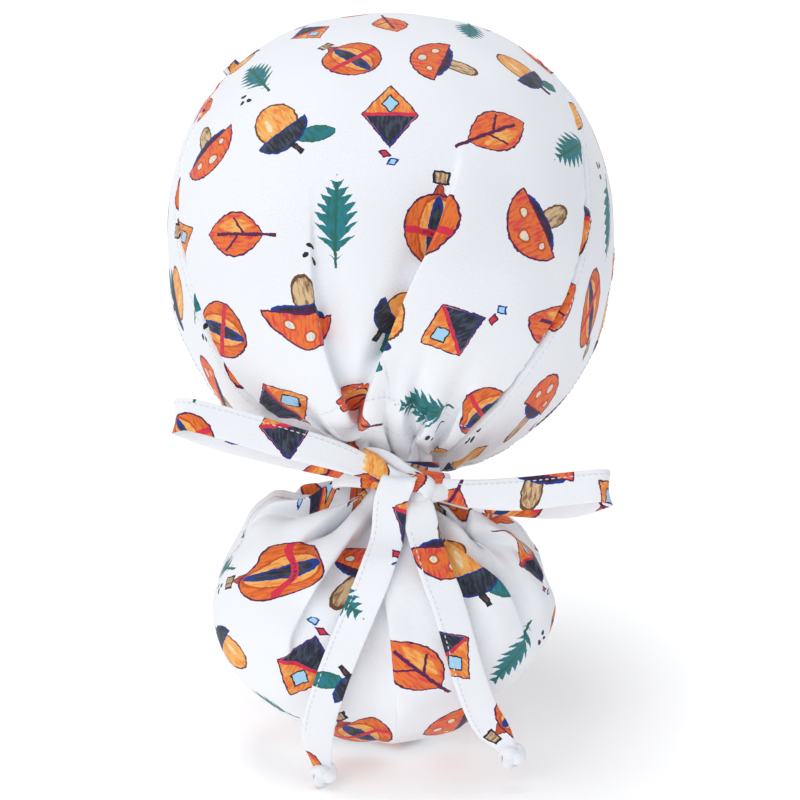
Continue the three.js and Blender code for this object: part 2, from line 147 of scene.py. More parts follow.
# How fine the grids of the cloth are, and how much of the band and the casings has stitches
CROWN_ROWS = 171
CROWN_COLUMNS = 270
BAND_COLUMNS = 561
POUCH_ROWS = 131
POUCH_COLUMNS = 321
BAND_STITCHED = 0.985
CASING_STITCHED = 0.93

Station = namedtuple("Station", "turn rise")
RIGHT_SEAM = [
    Station(13, -47),
    Station(19, -43),
    Station(24, -34),
    Station(32.5, -22),
    Station(40, -11.5),
    Station(48, -2),
    Station(54.5, 10),
    Station(62, 23),
    Station(71, 33),
    Station(85, 40.5),
    Station(101, 46),
]
LEFT_SEAM = [
    Station(10, -46),
    Station(20, -41),
    Station(31, -34),
    Station(40, -27),
    Station(46.5, -19.5),
    Station(52, -9.5),
    Station(58.5, 0.5),
    Station(67, 12),
    Station(76, 24),
    Station(86, 37.5),
    Station(101, 46),
]
SEAM_FRONT = 52
RIM = [
    Station(11.5, -52),
    Station(20, -58),
    Station(30, -61),
    Station(43, -57),
    Station(57, -46.5),
    Station(70, -30),
    Station(84, -14),
    Station(97, -2),
    Station(112, 5),
    Station(128, 9),
    Station(146, 12),
    Station(163, 13),
    Station(180, 13),
]

# Folds: where they lie across at the neck and at their far end, how far they reach as a share
# of the piece's height, their depth as a share of the fold depth, and the width of each side.
Fold = namedtuple("Fold", "near far reach depth left right")
CROWN_FOLDS = [
    Fold(-0.86, -0.9, 0.36, -0.75, 0.09, 0.05),
    Fold(-0.68, -0.72, 0.42, 0.3, 0.08, 0.08),
    Fold(-0.1, 0.3, 0.9, -0.25, 0.2, 0.2),
    Fold(0.36, 0.4, 0.4, -0.85, 0.1, 0.05),
    Fold(0.52, 0.56, 0.5, 0.28, 0.06, 0.14),
    Fold(0.8, 0.7, 0.44, -0.55, 0.08, 0.06),
]
POUCH_FOLDS = [
    Fold(-118, -122, 0.7, -0.7, 12, 9),
    Fold(-84, -92, 0.62, -0.8, 6, 13),
    Fold(-68, -74, 0.66, 0.3, 8, 8),
    Fold(-52, -60, 0.55, -0.85, 8, 7),
    Fold(-30, -34, 0.9, -0.6, 10, 6),
    Fold(-6, -3, 1.5, -0.55, 11, 4),
    Fold(8, 10, 1.3, 0.2, 6, 12),
    Fold(30, 24, 0.75, -0.5, 8, 6),
    Fold(50, 58, 0.95, -0.8, 10, 6),
    Fold(74, 76, 0.5, -0.8, 8, 8),
    Fold(112, 118, 0.7, -0.7, 9, 12),
    Fold(150, 152, 0.8, -0.6, 10, 10),
    Fold(-155, -152, 0.8, -0.6, 10, 10),
]

# Pleats, whose edge lies over the cloth beside it. line: how far across the edge is, at
# distances in millimetres from the neck's centre; over: 1 where the cloth on the right lies on
# top, -1 where the left does; deep, proud: millimetres that the lower cloth lies under and the
# upper one over the smooth form, each fading over its width across; tuck: millimetres that the
# edge overhangs; start, end: distances between which the pleat fades away.
Pleat = namedtuple("Pleat", "line over deep proud low high tuck start end")
CROWN_PLEATS = [
    Pleat(
        [(17, -0.8), (31, -0.62), (50, -0.4), (61, -0.305), (70, -0.195), (82, -0.07),
         (92, 0.03), (104, 0.125), (115, 0.19), (127, 0.255), (140, 0.305), (165, 0.35)],
        1, 9, 3.5, 0.16, 0.24, 6, 122, 180,
    ),
    Pleat(
        [(17, -0.66), (47, -0.56), (59, -0.525), (80, -0.51), (96, -0.5), (119, -0.465),
         (140, -0.415), (170, -0.36)],
        -1, 7, 3, 0.15, 0.18, 5.5, 100, 165,
    ),
    Pleat([(15, 0.1), (19, 0.25), (28, 0.48), (39, 0.54), (60, 0.57)], 1, 7, 2.5, 0.1, 0.16,
          5, 40, 64),
    Pleat([(17, -0.84), (50, -0.8), (90, -0.84)], -1, 6, 2.5, 0.08, 0.1, 4.5, 46, 84),
    Pleat([(17, -0.62), (34, -0.68), (64, -0.7)], -1, 6, 2.5, 0.07, 0.09, 4.5, 38, 64),
    Pleat([(17, 0.86), (40, 0.84), (80, 0.8)], 1, 3.5, 1.5, 0.08, 0.1, 4, 36, 80),
    Pleat([(15, -0.1), (34, -0.16), (56, -0.1)], -1, 3, 1.2, 0.07, 0.1, 3.5, 30, 52),
]
POUCH_PLEATS = [
    Pleat([(17, -14), (40, -4), (59, -0.5), (72, 1.8), (86, 3.2), (107, 4.5), (130, 6)],
          1, 6.5, 3.4, 9, 12, 3.5, 96, 146),
    Pleat([(17, 17), (48, 28), (64, 36), (75, 42), (89, 48), (112, 57)],
          -1, 6, 3.4, 8, 14, 4.5, 74, 122),
    Pleat([(17, -46), (28, -41), (51, -35), (70, -36)], -1, 12, 4, 10, 18, 7, 44, 76),
    Pleat([(17, -70), (36, -66), (60, -72), (84, -80)], -1, 8, 4, 9, 16, 5, 46, 88),
    Pleat([(17, -22), (30, -14), (41, -12.6), (61, -18.5), (85, -26), (99, -30), (120, -33)],
          -1, 9, 4, 8, 14, 5.5, 66, 130),
    Pleat([(17, 64), (42, 58), (56, 48), (70, 46)], 1, 8, 3.5, 7, 12, 5.5, 48, 76),
    Pleat([(17, 40), (46, 52), (70, 66), (100, 76)], 1, 5, 3, 8, 12, 4, 60, 110),
    Pleat([(17, -100), (47, -98), (74, -104), (90, -108)], 1, 6, 2.5, 10, 16, 5, 50, 88),
    Pleat([(17, 96), (45, 92), (70, 96), (100, 100)], -1, 7, 3, 9, 14, 4.5, 56, 104),
    Pleat([(17, 130), (60, 136), (90, 140)], 1, 6, 3, 10, 14, 4, 56, 96),
    Pleat([(17, -136), (60, -140), (90, -146)], -1, 6, 3, 10, 14, 4, 56, 96),
    Pleat([(17, 178), (60, 172), (100, 168)], 1, 6, 3, 10, 14, 4, 60, 110),
]

# Soft lumps and dents of the pouch: where they are, how far they spread and how high they are,
# all in millimetres
Lump = namedtuple("Lump", "x y z size height")
POUCH_LUMPS = [
    Lump(-70, -88, -108, 20, 6),
    Lump(-80, -88, -131, 20, -6.5),
    Lump(70, -88, -116, 24, -7),
    Lump(82, -88, -148, 13, -2.5),
    Lump(82, -88, -166, 13, 2.5),
    Lump(62, -92, -214, 26, -6),
    Lump(-62, -92, -214, 26, -3.5),
]

# Centre lines of the bow's loops, as shares of the loop's length and of the tie's width
Bend = namedtuple("Bend", "out up back wide lean")
LEFT_LOOP = [
    Bend(0, 0.3, 0, 0.55, 20),
    Bend(0.2, 0.88, -0.1, 0.85, 16),
    Bend(0.5, 1.46, -0.14, 1, 12),
    Bend(0.8, 1.98, 0, 1, 8),
    Bend(0.95, 2.16, 0.1, 1, 6),
    Bend(1, 2.02, 0.38, 1, 4),
    Bend(0.96, 1.7, 0.66, 1, 0),
    Bend(0.78, 1.2, 0.74, 1, -8),
    Bend(0.5, 0.74, 0.72, 1, -10),
    Bend(0.22, 0.36, 0.58, 0.85, -6),
    Bend(0.02, 0.12, 0.44, 0.6, 0),
]
RIGHT_LOOP = [
    Bend(0, -0.1, 0, 0.6, 10),
    Bend(0.22, -0.3, -0.06, 0.85, 12),
    Bend(0.5, -0.29, -0.1, 1, 14),
    Bend(0.8, -0.15, 0, 1, 12),
    Bend(0.95, -0.11, 0.1, 1, 10),
    Bend(1, -0.27, 0.38, 1, 4),
    Bend(0.96, -0.6, 0.66, 1, -4),
    Bend(0.78, -0.98, 0.76, 1, -14),
    Bend(0.5, -0.94, 0.72, 1, -18),
    Bend(0.22, -0.7, 0.58, 0.8, -10),
    Bend(0.02, -0.4, 0.44, 0.6, 0),
]

# Routes of the tails: share of half the pouch's width, and degrees that the face turns
Route = namedtuple("Route", "side turn")
LEFT_TAIL = [
    Route(0.02, 0),
    Route(-0.07, -4),
    Route(-0.17, -7),
    Route(-0.27, -8),
    Route(-0.36, -6),
    Route(-0.42, -3),
    Route(-0.385, 0),
]
RIGHT_TAIL = [
    Route(0.165, 0),
    Route(0.24, 10),
    Route(0.33, 14),
    Route(0.395, 16),
    Route(0.46, 14),
    Route(0.55, 8),
    Route(0.705, 4),
]


def linear(hex_colour):
    """The linear RGBA of an sRGB hex colour."""
    srgb = np.array([int(hex_colour[i : i + 2], 16) for i in (1, 3, 5)]) / 255
    low = srgb / 12.92
    high = ((srgb + 0.055) / 1.055) ** 2.4
    return (*np.where(srgb <= 0.04045, low, high).tolist(), 1.0)


class ScrubCapSizes(bpy.types.PropertyGroup):
    """Sizes of the cloth, its seams and its print"""

    cloth_wall: bpy.props.FloatProperty(
        name="Cloth", description="Thickness of the cotton", default=1.0 * MM,
        subtype="DISTANCE", unit="LENGTH",
    )
    tie_wall: bpy.props.FloatProperty(
        name="Tie", description="Thickness of a folded and stitched tie", default=1.7 * MM,
        subtype="DISTANCE", unit="LENGTH",
    )
    seam_roll: bpy.props.FloatProperty(
        name="Seam roll", description="How far the cloth turns in at a seam", default=2.6 * MM,
        subtype="DISTANCE", unit="LENGTH",
    )
    stitch_pitch: bpy.props.FloatProperty(
        name="Stitch pitch", description="From one stitch to the next", default=3.0 * MM,
        subtype="DISTANCE", unit="LENGTH",
    )
    print_spacing: bpy.props.FloatProperty(
        name="Print spacing", description="From one printed motif to the next",
        default=50 * MM, subtype="DISTANCE", unit="LENGTH",
    )
    twill_pitch: bpy.props.FloatProperty(
        name="Twill pitch", description="From one diagonal rib of the weave to the next",
        default=0.9 * MM, subtype="DISTANCE", unit="LENGTH",
    )


class ScrubCapColours(bpy.types.PropertyGroup):
    """Colours of the cloth and the thread"""

    cloth: bpy.props.FloatVectorProperty(
        name="Cloth", description="White cotton on its right side", size=4, subtype="COLOR",
        default=linear("#F2F4F8"), min=0, max=1,
    )
    wrong_side: bpy.props.FloatVectorProperty(
        name="Wrong side", description="White cotton on its wrong side", size=4,
        subtype="COLOR", default=linear("#E9EAEE"), min=0, max=1,
    )
    # The thread's colour is darker than the white cloth's: painted shade of the small dents that
    # the stitches press into the cloth.
    thread: bpy.props.FloatVectorProperty(
        name="Thread", description="Sewing thread", size=4, subtype="COLOR",
        default=linear("#E2E4EA"), min=0, max=1,
    )
    floor: bpy.props.FloatVectorProperty(
        name="Floor", description="Studio floor", size=4, subtype="COLOR",
        default=linear("#F7F7F7"), min=0, max=1,
    )


# Small tools for the forms


def smooth(low, high, x):
    t = np.clip((x - low) / (high - low), 0, 1)
    return t * t * (3 - 2 * t)


def lerp(a, b, share):
    return a + (b - a) * share


def spread(share):
    """A share, ready to multiply points."""
    return np.asarray(share)[..., None]


def unit(vectors):
    return vectors / np.linalg.norm(vectors, axis=-1, keepdims=True)


def curve(values, share):
    """A smooth curve through evenly spaced values, at shares of the way along them."""
    values = np.array(values, float)
    place = np.clip(share, 0, 1) * (len(values) - 1)
    row = np.minimum(place.astype(int), len(values) - 2)
    a, b, c, d = (values[np.clip(row + step, 0, len(values) - 1)] for step in (-1, 0, 1, 2))
    t = place - row
    bend = 2 * a - 5 * b + 4 * c - d
    twist = 3 * b - a - 3 * c + d
    return (2 * b + (c - a) * t + bend * t**2 + twist * t**3) / 2


def column(table, name, share):
    """One column of a table of evenly spaced rows, at shares of the way down it."""
    return curve([getattr(row, name) for row in table], share)


def lengths(points):
    """How far along a line each of its points is."""
    return np.concatenate([[0], np.cumsum(np.linalg.norm(np.diff(points, axis=0), axis=-1))])


def rows_at(table, length, where):
    """Rows of a table of points or ways, at distances along a line."""
    return np.stack([np.interp(where, length, values) for values in table.T], -1)


def direction(turn, rise):
    """Directions from the origin, by turn from the back and rise above the horizon."""
    t, r = np.radians(turn), np.radians(rise)
    return np.stack([np.sin(t) * np.cos(r), -np.cos(t) * np.cos(r), np.sin(r) + 0 * t], -1)


def roundness(way, fullness):
    """Length that takes a direction out to a rounded form of unit size."""
    return (np.abs(way) ** spread(fullness)).sum(-1) ** (-1 / np.asarray(fullness))


def ripple(points, wavelength, seed):
    """A soft random field over points, about from -1 to 1, with bumps of a wavelength."""
    chance = np.random.RandomState(seed)
    ways = unit(chance.normal(size=(14, 3))) * (2 * np.pi / wavelength)
    ways *= chance.uniform(0.7, 1.3, size=(14, 1))
    phases = chance.uniform(0, 2 * np.pi, size=14)
    return np.sin(points @ ways.T + phases).sum(-1) / 14**0.5


# The crown's and the neck's forms


def crown_half(way):
    half = np.empty_like(way)
    half[..., 0] = CROWN_WIDTH / 2
    half[..., 1] = CROWN_DEPTH / 2
    half[..., 2] = np.where(way[..., 2] > 0, CROWN_RISE, CROWN_DROP)
    return half


def crown_point(way):
    return way * crown_half(way) * spread(roundness(way, CROWN_FULLNESS))


def neck_middle():
    centre = crown_point(direction(0, -NECK_FALL))
    centre *= 1 + NECK_STAND / np.linalg.norm(centre)
    centre[0] = NECK_SHIFT
    return centre


NECK_CENTRE = neck_middle()
RIGHT = np.array([1.0, 0, 0])
NECK_UP = np.array([0, np.sin(np.radians(NECK_TILT)), np.cos(np.radians(NECK_TILT))])
NECK_BACK = np.array([0, -NECK_UP[2], NECK_UP[1]])


def neck_point(turn, radius, height):
    """Points round the neck, by turn from its back, distance from its middle and height."""
    t = np.radians(turn)
    out = spread(np.cos(t)) * NECK_BACK + spread(np.sin(t)) * RIGHT
    return NECK_CENTRE + out * spread(radius + 0 * t) + spread(height + 0 * t) * NECK_UP


def fold_lift(folds, across, away, span):
    """How far a table of folds lifts points off the smooth form."""
    lift = 0 * across
    for fold in folds:
        reach = fold.reach * span
        off = across - lerp(fold.near, fold.far, np.clip(away / reach, 0, 1))
        width = np.where(off < 0, fold.left, fold.right)
        along = 1 - smooth(0.3 * reach, reach, away)
        lift += fold.depth * FOLD_DEPTH * along * np.exp(-((off / width) ** 2))
    return lift * smooth(NECK_RADIUS, 2.6 * NECK_RADIUS, away)


def line_at(line, away):
    """How far across a pleat's edge is at distances from the neck's centre."""
    distances, places = np.array(line, float).T
    return np.interp(away / MM, distances, places)


def pleat_moves(pleats, across, away, scale):
    """How far a table of pleats lifts points and moves them across. scale is how many metres
    one unit across is, at each point."""
    lift, move = 0 * across, 0 * across
    for pleat in pleats:
        off = (across - line_at(pleat.line, away)) * pleat.over
        strength = 1 - smooth(pleat.start * MM, pleat.end * MM, away)
        strength = strength * smooth(0.8 * NECK_RADIUS, 1.6 * NECK_RADIUS, away)
        edge = off * scale / (0.5 * pleat.tuck * MM)
        upper = 0.5 + 0.5 * np.tanh(1.6 * edge)
        under = pleat.deep * np.exp(-((np.minimum(off, 0) / pleat.low) ** 2)) * (1 - upper)
        over = pleat.proud * np.exp(-((np.maximum(off, 0) / pleat.high) ** 2)) * upper
        lift += (over - under) * MM * strength
        move -= pleat.over * pleat.tuck * MM * strength * edge * np.exp(-(edge**2) / 2)
    return lift, move


def panel_way(across, along):
    def at(name):
        return np.where(
            across < 0, column(LEFT_SEAM, name, along), column(RIGHT_SEAM, name, along)
        )

    side = direction(at("turn"), at("rise"))
    middle = direction(0 * along, lerp(NECK_SPREAD - NECK_FALL, 180 - SEAM_FRONT, along))
    way = lerp(middle, side, spread(np.abs(across) ** 1.6))
    way[..., 0] = across * side[..., 0]
    return unit(way)


def panel_form(across, along):
    """The crown panel, by its place across from -1 to 1 and from the neck to the forehead."""
    crown = crown_point(panel_way(across, along**1.5))
    rise = SEAM_GAP / 2 + COLLAR_HEIGHT * along / COLLAR_SHARE
    ring = neck_point(across * NECK_REACH, NECK_RADIUS, rise)
    return lerp(ring, crown, spread(smooth(COLLAR_STAND * COLLAR_SHARE, COLLAR_SHARE, along)))


# The share of the seam's way from the neck that runs up the panel's side, before it turns along
# the panel's front, and how far down its table the rim is by then
SEAM_SHARE = 0.4286
RIM_SHARE = 0.6


def seam_point(side, share):
    """Points of the seam on one side of the head, from the neck to the front's middle."""
    low = panel_form(side + 0 * share, np.minimum(share / SEAM_SHARE, 1))
    high = panel_form(side * (1 - share) / (1 - SEAM_SHARE), 1 + 0 * share)
    return np.where(spread(share < SEAM_SHARE), low, high)


def rim_point(side, share):
    """Points of the rim on one side of the head, from the neck to the front's middle."""
    low = RIM_SHARE * share / SEAM_SHARE
    high = 1 - (1 - RIM_SHARE) * (1 - share) / (1 - SEAM_SHARE)
    place = np.where(share < SEAM_SHARE, low, high)
    crown = crown_point(direction(side * column(RIM, "turn", place), column(RIM, "rise", place)))
    collar_end = SEAM_SHARE * COLLAR_SHARE
    rise = SEAM_GAP / 2 + COLLAR_HEIGHT * np.minimum(1, share / collar_end)
    ring = neck_point(side * BAND_END_REACH, NECK_RADIUS, rise)
    return lerp(ring, crown, spread(smooth(COLLAR_STAND * collar_end, collar_end, share)))


def band_form(round_, across):
    """The band, by its place round the head from -1 to 1 and across from the seam to the rim."""
    side = np.where(round_ < 0, -1.0, 1.0)
    share = 1 - np.abs(round_)
    top, low = seam_point(side, share), rim_point(side, share)
    ahead = unit(
        seam_point(side, np.minimum(share + STEP, 1))
        - seam_point(side, np.maximum(share - STEP, 0))
    )
    gap = SEAM_GAP / np.linalg.norm(np.cross(ahead, low - top), axis=-1)
    place = spread(gap + across * (1 - gap))
    a, b = top / crown_half(top), low / crown_half(low)
    lift = lerp(
        np.linalg.norm(a, axis=-1) / roundness(unit(a), CROWN_FULLNESS),
        np.linalg.norm(b, axis=-1) / roundness(unit(b), CROWN_FULLNESS),
        place[..., 0],
    )
    a, b = unit(a), unit(b)
    angle = spread(np.arccos(np.clip((a * b).sum(-1), -1, 1)))
    way = unit(a * np.sin((1 - place) * angle) + b * np.sin(place * angle))
    return crown_point(way) * spread(lift)


POUCH_CENTRE = NECK_CENTRE + np.array([POUCH_SHIFT, 0, -POUCH_DROP - POUCH_HEIGHT / 2])
POUCH_HALF = np.array([POUCH_WIDTH, POUCH_DEPTH, POUCH_HEIGHT]) / 2


def pouch_way(turn, along):
    fall = np.radians(lerp(POUCH_SPREAD, 180, along**1.15))
    t, ring = np.radians(turn), np.sin(fall)
    return np.stack([ring * np.sin(t), -ring * np.cos(t), np.cos(fall) + 0 * t], -1)


def pouch_form(round_, along):
    """The pouch, by its place round the neck from -1 to 1 and from the neck to the bottom."""
    turn = -180 * round_
    way = pouch_way(turn, along)
    full = lerp(POUCH_BOTTOM_FULLNESS, POUCH_TOP_FULLNESS, smooth(-0.7, 0.7, way[..., 2]))
    bag = POUCH_CENTRE + way * POUCH_HALF * spread(roundness(way, full))
    drop = -SEAM_GAP / 2 - COLLAR_HEIGHT * along / COLLAR_SHARE
    collar = neck_point(turn, NECK_RADIUS, drop)
    return lerp(collar, bag, spread(smooth(COLLAR_STAND * COLLAR_SHARE, COLLAR_SHARE, along)))


# Sheets of cloth on those forms. Each gives its points and the smooth form's normals there.


def frame_of(form, u, v, low, high):
    """The points of a form, with the normals and the ways across there."""
    across = form(np.minimum(u + STEP, high), v) - form(np.maximum(u - STEP, low), v)
    v0, v1 = np.maximum(v - STEP, 0), np.minimum(v + STEP, 1)
    along = form(u, v1) - form(u, v0)
    return form(u, v), unit(np.cross(across, along)), unit(across)


# A seam's rolled edge, and the puckers beside a row of stitches
SEAM_ROUND = 1.6 * MM
PUCKER_HEIGHT = 0.35 * MM
PUCKER_WAVE = 7 * MM

# Uneven cloth: how high and how long its soft waves are; squeeze: less than 1 where they are
# drawn out upright
Wrinkle = namedtuple("Wrinkle", "height wave squeeze seed")
CROWN_WRINKLE = Wrinkle(0.5 * MM, 46 * MM, 1, 5)
BAND_WRINKLE = Wrinkle(0.45 * MM, 40 * MM, 1, 8)
BAND_DRAWN = Wrinkle(1.2 * MM, 13 * MM, 0.3, 3)
POUCH_WRINKLE = Wrinkle(0.9 * MM, 34 * MM, 1, 17)
POUCH_DRAWN = Wrinkle(0.9 * MM, 17 * MM, 0.35, 41)

# Distances from the neck's centre between which the drawn wrinkles fade away
BAND_DRAWN_FADE = (24 * MM, 75 * MM)
POUCH_DRAWN_FADE = (60 * MM, 130 * MM)

# Narrow tucks round the neck: how many fill a full turn, their depth and their usual length
Gather = namedtuple("Gather", "count depth length seed")
CROWN_GATHERS = Gather(9.5, 2 * MM, 40 * MM, 1.3)
POUCH_GATHERS = Gather(16, 1.7 * MM, 34 * MM, 2.1)


def wrinkle_lift(wrinkle, points):
    points = points * [1, 1, wrinkle.squeeze]
    return wrinkle.height * ripple(points, wrinkle.wave, wrinkle.seed)


def seam_line(distance, roll):
    """How far the cloth turns down at a distance from a seam."""
    return -roll * np.exp(-((distance / SEAM_ROUND) ** 2))


def pucker(points, distance, seed):
    """Small tucks where the thread draws the cloth in beside a seam."""
    tucks = PUCKER_HEIGHT * ripple(points, PUCKER_WAVE, seed)
    return tucks * np.exp(-((distance / PUCKER_WAVE) ** 2))


def gather_lift(gather, turn, away):
    """How far the tucks round the neck lift points, each tuck with its own length."""
    phase = np.radians(turn) * gather.count
    wobble = 0.9 * np.sin(2.3 * phase / 5 + gather.seed)
    reach = gather.length * (1 + 0.5 * np.sin(0.7 * phase + 2 * gather.seed))
    along = 1 - smooth(NECK_RADIUS * 0.9, NECK_RADIUS + reach, away)
    crest = np.abs(np.sin((phase + wobble) / 2)) ** 0.8
    return gather.depth * along * (2 * crest - 1.2)


# The casings that the crown is gathered by: across, and millimetres from the neck's centre. The
# cloth steps down past the upper one, and swells between it and the neck.
CASING = [(-1, 60), (-0.6, 62), (-0.2, 65), (0.15, 56), (0.55, 49), (1, 50)]
LOWER_CASING = [(-1, 46), (-0.33, 43), (-0.18, 37), (0.26, 34), (0.56, 39), (1, 31)]
CASING_STEP = 0.8 * MM
CASING_SWELL = 1.6 * MM
CASING_SWELL_PLACE = 12 * MM
CASING_SWELL_WIDTH = 9 * MM

# The band's hem along the rim, and how softly the hem and the casing step down
HEM = 9 * MM
HEM_STEP = 0.4 * MM
STEP_ROUND = 0.6 * MM

# How near a seam the crown's folds and the band's wrinkles fade away, and how near the bottom,
# as a share of the way down, the pouch's
CROWN_CALM = 12 * MM
BAND_CALM = 14 * MM
POUCH_CALM = 0.25
POUCH_POLE = 0.999


def casing_distance(table, across):
    places, distances = np.array(table, float).T
    return np.interp(across, places, distances) * MM


def panel_surface(across, along):
    """The crown's cloth, with its folds, pleats, gathers, seam and casing."""
    sizes = bpy.context.scene.scrub_cap_sizes
    points, normal, sideways = frame_of(panel_form, across, along, -1, 1)
    away = np.linalg.norm(points - NECK_CENTRE, axis=-1)
    low, high = np.maximum(across - STEP, -1), np.minimum(across + STEP, 1)
    ring = np.linalg.norm(panel_form(high, along) - panel_form(low, along), axis=-1)
    scale = ring / (high - low)
    seam = np.minimum((1 - np.abs(across)) * scale, (1 - along) * PANEL_LENGTH)
    calm = smooth(0, CROWN_CALM, seam)
    lift = calm * fold_lift(CROWN_FOLDS, across, away, CROWN_RISE + CROWN_DROP)
    pleats, move = pleat_moves(CROWN_PLEATS, across, away, scale)
    lift += calm * pleats
    lift += gather_lift(CROWN_GATHERS, across * NECK_REACH, away)
    lift += wrinkle_lift(CROWN_WRINKLE, points) * calm
    lift += seam_line(seam, sizes.seam_roll) + pucker(points, seam, 11)
    past = away - casing_distance(CASING, across)
    lift += CASING_STEP * smooth(STEP_ROUND, -STEP_ROUND, past)
    swell = np.exp(-(((past + CASING_SWELL_PLACE) / CASING_SWELL_WIDTH) ** 2))
    lift += CASING_SWELL * swell * calm
    return points + normal * spread(lift) + sideways * spread(calm * move), normal


def band_width(round_):
    side = np.where(round_ < 0, -1.0, 1.0)
    share = 1 - np.abs(round_)
    return np.linalg.norm(seam_point(side, share) - rim_point(side, share), axis=-1)


def band_surface(round_, across):
    """The band's cloth, with its seam, its hem and the wrinkles that the ties draw in it."""
    sizes = bpy.context.scene.scrub_cap_sizes
    points, normal, _ = frame_of(band_form, round_, across, -1, 1)
    width = band_width(round_)
    seam, rim = across * width, (1 - across) * width
    middle = smooth(0, BAND_CALM, seam)
    lift = seam_line(seam, sizes.seam_roll) + pucker(points, seam, 23)
    lift += wrinkle_lift(BAND_WRINKLE, points) * middle
    lift += HEM_STEP * smooth(HEM + STEP_ROUND, HEM - STEP_ROUND, rim)
    lift += 0.5 * pucker(points, rim - HEM, 29)
    away = np.linalg.norm(points - NECK_CENTRE, axis=-1)
    drawn = 1 - smooth(*BAND_DRAWN_FADE, away)
    lift += drawn * middle * wrinkle_lift(BAND_DRAWN, points)
    return points + normal * spread(lift), normal


def lump_lift(lumps, points):
    """How far a table of lumps lifts points off the smooth form."""
    lift = 0 * points[..., 0]
    for lump in lumps:
        off = np.linalg.norm(points - np.array([lump.x, lump.y, lump.z]) * MM, axis=-1)
        lift += lump.height * MM * np.exp(-((off / (lump.size * MM)) ** 2))
    return lift


def pouch_surface(round_, along):
    """The pouch's cloth. It runs all round, so no place across is its end, and it stops just
    short of its pole, which has no way across."""
    turn = -180 * round_
    points, normal, sideways = frame_of(
        pouch_form, round_, np.minimum(along, POUCH_POLE), -np.inf, np.inf
    )
    away = np.linalg.norm(points - NECK_CENTRE, axis=-1)
    calm = smooth(0, POUCH_CALM, 1 - along)
    lift = fold_lift(POUCH_FOLDS, turn, away, POUCH_HEIGHT)
    ring = np.linalg.norm(
        pouch_form(round_ + STEP, along) - pouch_form(round_ - STEP, along), axis=-1
    )
    pleats, move = pleat_moves(POUCH_PLEATS, turn, away, ring / (360 * STEP))
    lift = calm * (lift + pleats + lump_lift(POUCH_LUMPS, points))
    lift += gather_lift(POUCH_GATHERS, turn, away)
    drawn = 1 - smooth(*POUCH_DRAWN_FADE, away)
    lift += calm * wrinkle_lift(POUCH_WRINKLE, points)
    lift += calm * drawn * wrinkle_lift(POUCH_DRAWN, points)
    return points + normal * spread(lift) - sideways * spread(calm * move), normal


# Making meshes


def printed_chart(way, middle, right, radius):
    """Where directions land on flat cloth that is laid out round a middle direction."""
    up = np.cross(right, middle)
    angle = np.arccos(np.clip(way @ middle, -1, 1))
    flat = np.stack([way @ right, way @ up], -1)
    length = np.maximum(np.linalg.norm(flat, axis=-1), 1e-9)
    return flat * spread(radius * angle / length)


def hidden_length(points, smooth_points):
    """Extra length of cloth that folds take up across each row, from its middle column."""
    def run(p):
        steps = np.linalg.norm(np.diff(p, axis=1), axis=-1)
        return np.concatenate([np.zeros((len(p), 1)), np.cumsum(steps, axis=1)], axis=1)

    extra = run(points) - run(smooth_points)
    return extra - extra[:, [points.shape[1] // 2]]


def edge_places(form, pleat, rows, size):
    """Where a pleat's edge crosses each row of a form, in the form's own units."""
    place = 0 * rows
    for _ in range(6):
        away = np.linalg.norm(form(place, rows) - NECK_CENTRE, axis=-1)
        place = line_at(pleat.line, away) / size
    return place


def crowded(count, centres, width, gain):
    """Places from -1 to 1 in each row, closer together round that row's centres."""
    fine = np.linspace(-1, 1, 1601)
    centres = np.array(centres)
    places = np.empty((centres.shape[1], count))
    for j in range(centres.shape[1]):
        near = np.exp(-(((fine[:, None] - centres[:, j]) / width) ** 2)).sum(-1)
        density = 1 + gain * np.minimum(near, 1.2)
        total = np.concatenate([[0], np.cumsum((density[1:] + density[:-1]) / 2)])
        places[j] = np.interp(np.linspace(0, total[-1], count), total, fine)
    return places


def grid_mesh(name, points, charts, joined=0, ends=False):
    """A mesh of a grid of points with its chart as the UV map. joined: how close points lie that
    are made one, where the grid meets itself; ends: whether its open ends are closed."""
    rows, columns = points.shape[:2]
    bm = bmesh.new()
    bmesh.ops.create_grid(bm, x_segments=columns - 1, y_segments=rows - 1, size=1)
    uv = bm.loops.layers.uv.new("Cloth")
    where = {}
    for vert in bm.verts:
        i = round((vert.co.x + 1) / 2 * (columns - 1))
        j = round((vert.co.y + 1) / 2 * (rows - 1))
        where[vert] = (j, i)
        vert.co = points[j, i]
    for face in bm.faces:
        for corner in face.loops:
            corner[uv].uv = charts[where[corner.vert]]
        face.smooth = True
    if joined:
        bmesh.ops.remove_doubles(bm, verts=bm.verts, dist=joined)
        bmesh.ops.dissolve_degenerate(bm, edges=bm.edges, dist=1e-7)
    if ends:
        bmesh.ops.holes_fill(bm, edges=[e for e in bm.edges if e.is_boundary])
    mesh = bpy.data.meshes.new(name)
    bm.to_mesh(mesh)
    bm.free()
    return mesh


def add_piece(name, mesh, materials, nodes=(), wall=None):
    """Adds a finished mesh as a piece of the cap, with its wall's thickness inside it."""
    piece = bpy.data.objects.new(name, mesh)
    bpy.context.scene.collection.objects.link(piece)
    for material in materials:
        mesh.materials.append(material)
    if wall:
        solidify = piece.modifiers.new("Wall", "SOLIDIFY")
        solidify.thickness = wall
        solidify.offset = -1
        solidify.use_even_offset = False
        solidify.material_offset = 1
        solidify.material_offset_rim = 0
    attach(piece, "root")
    if nodes:
        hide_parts(*nodes)
    return piece


# Strips: ties, loops and tails

# How small the creases of a tie are, how far its steps are apart along the creases, and how far
# apart on the print ties are cut whose seeds are one apart
CREASE_WAVE = 4.5 * MM
CREASE_STEP = 0.12 * MM
TIE_CUT = np.array([37, 21]) * MM


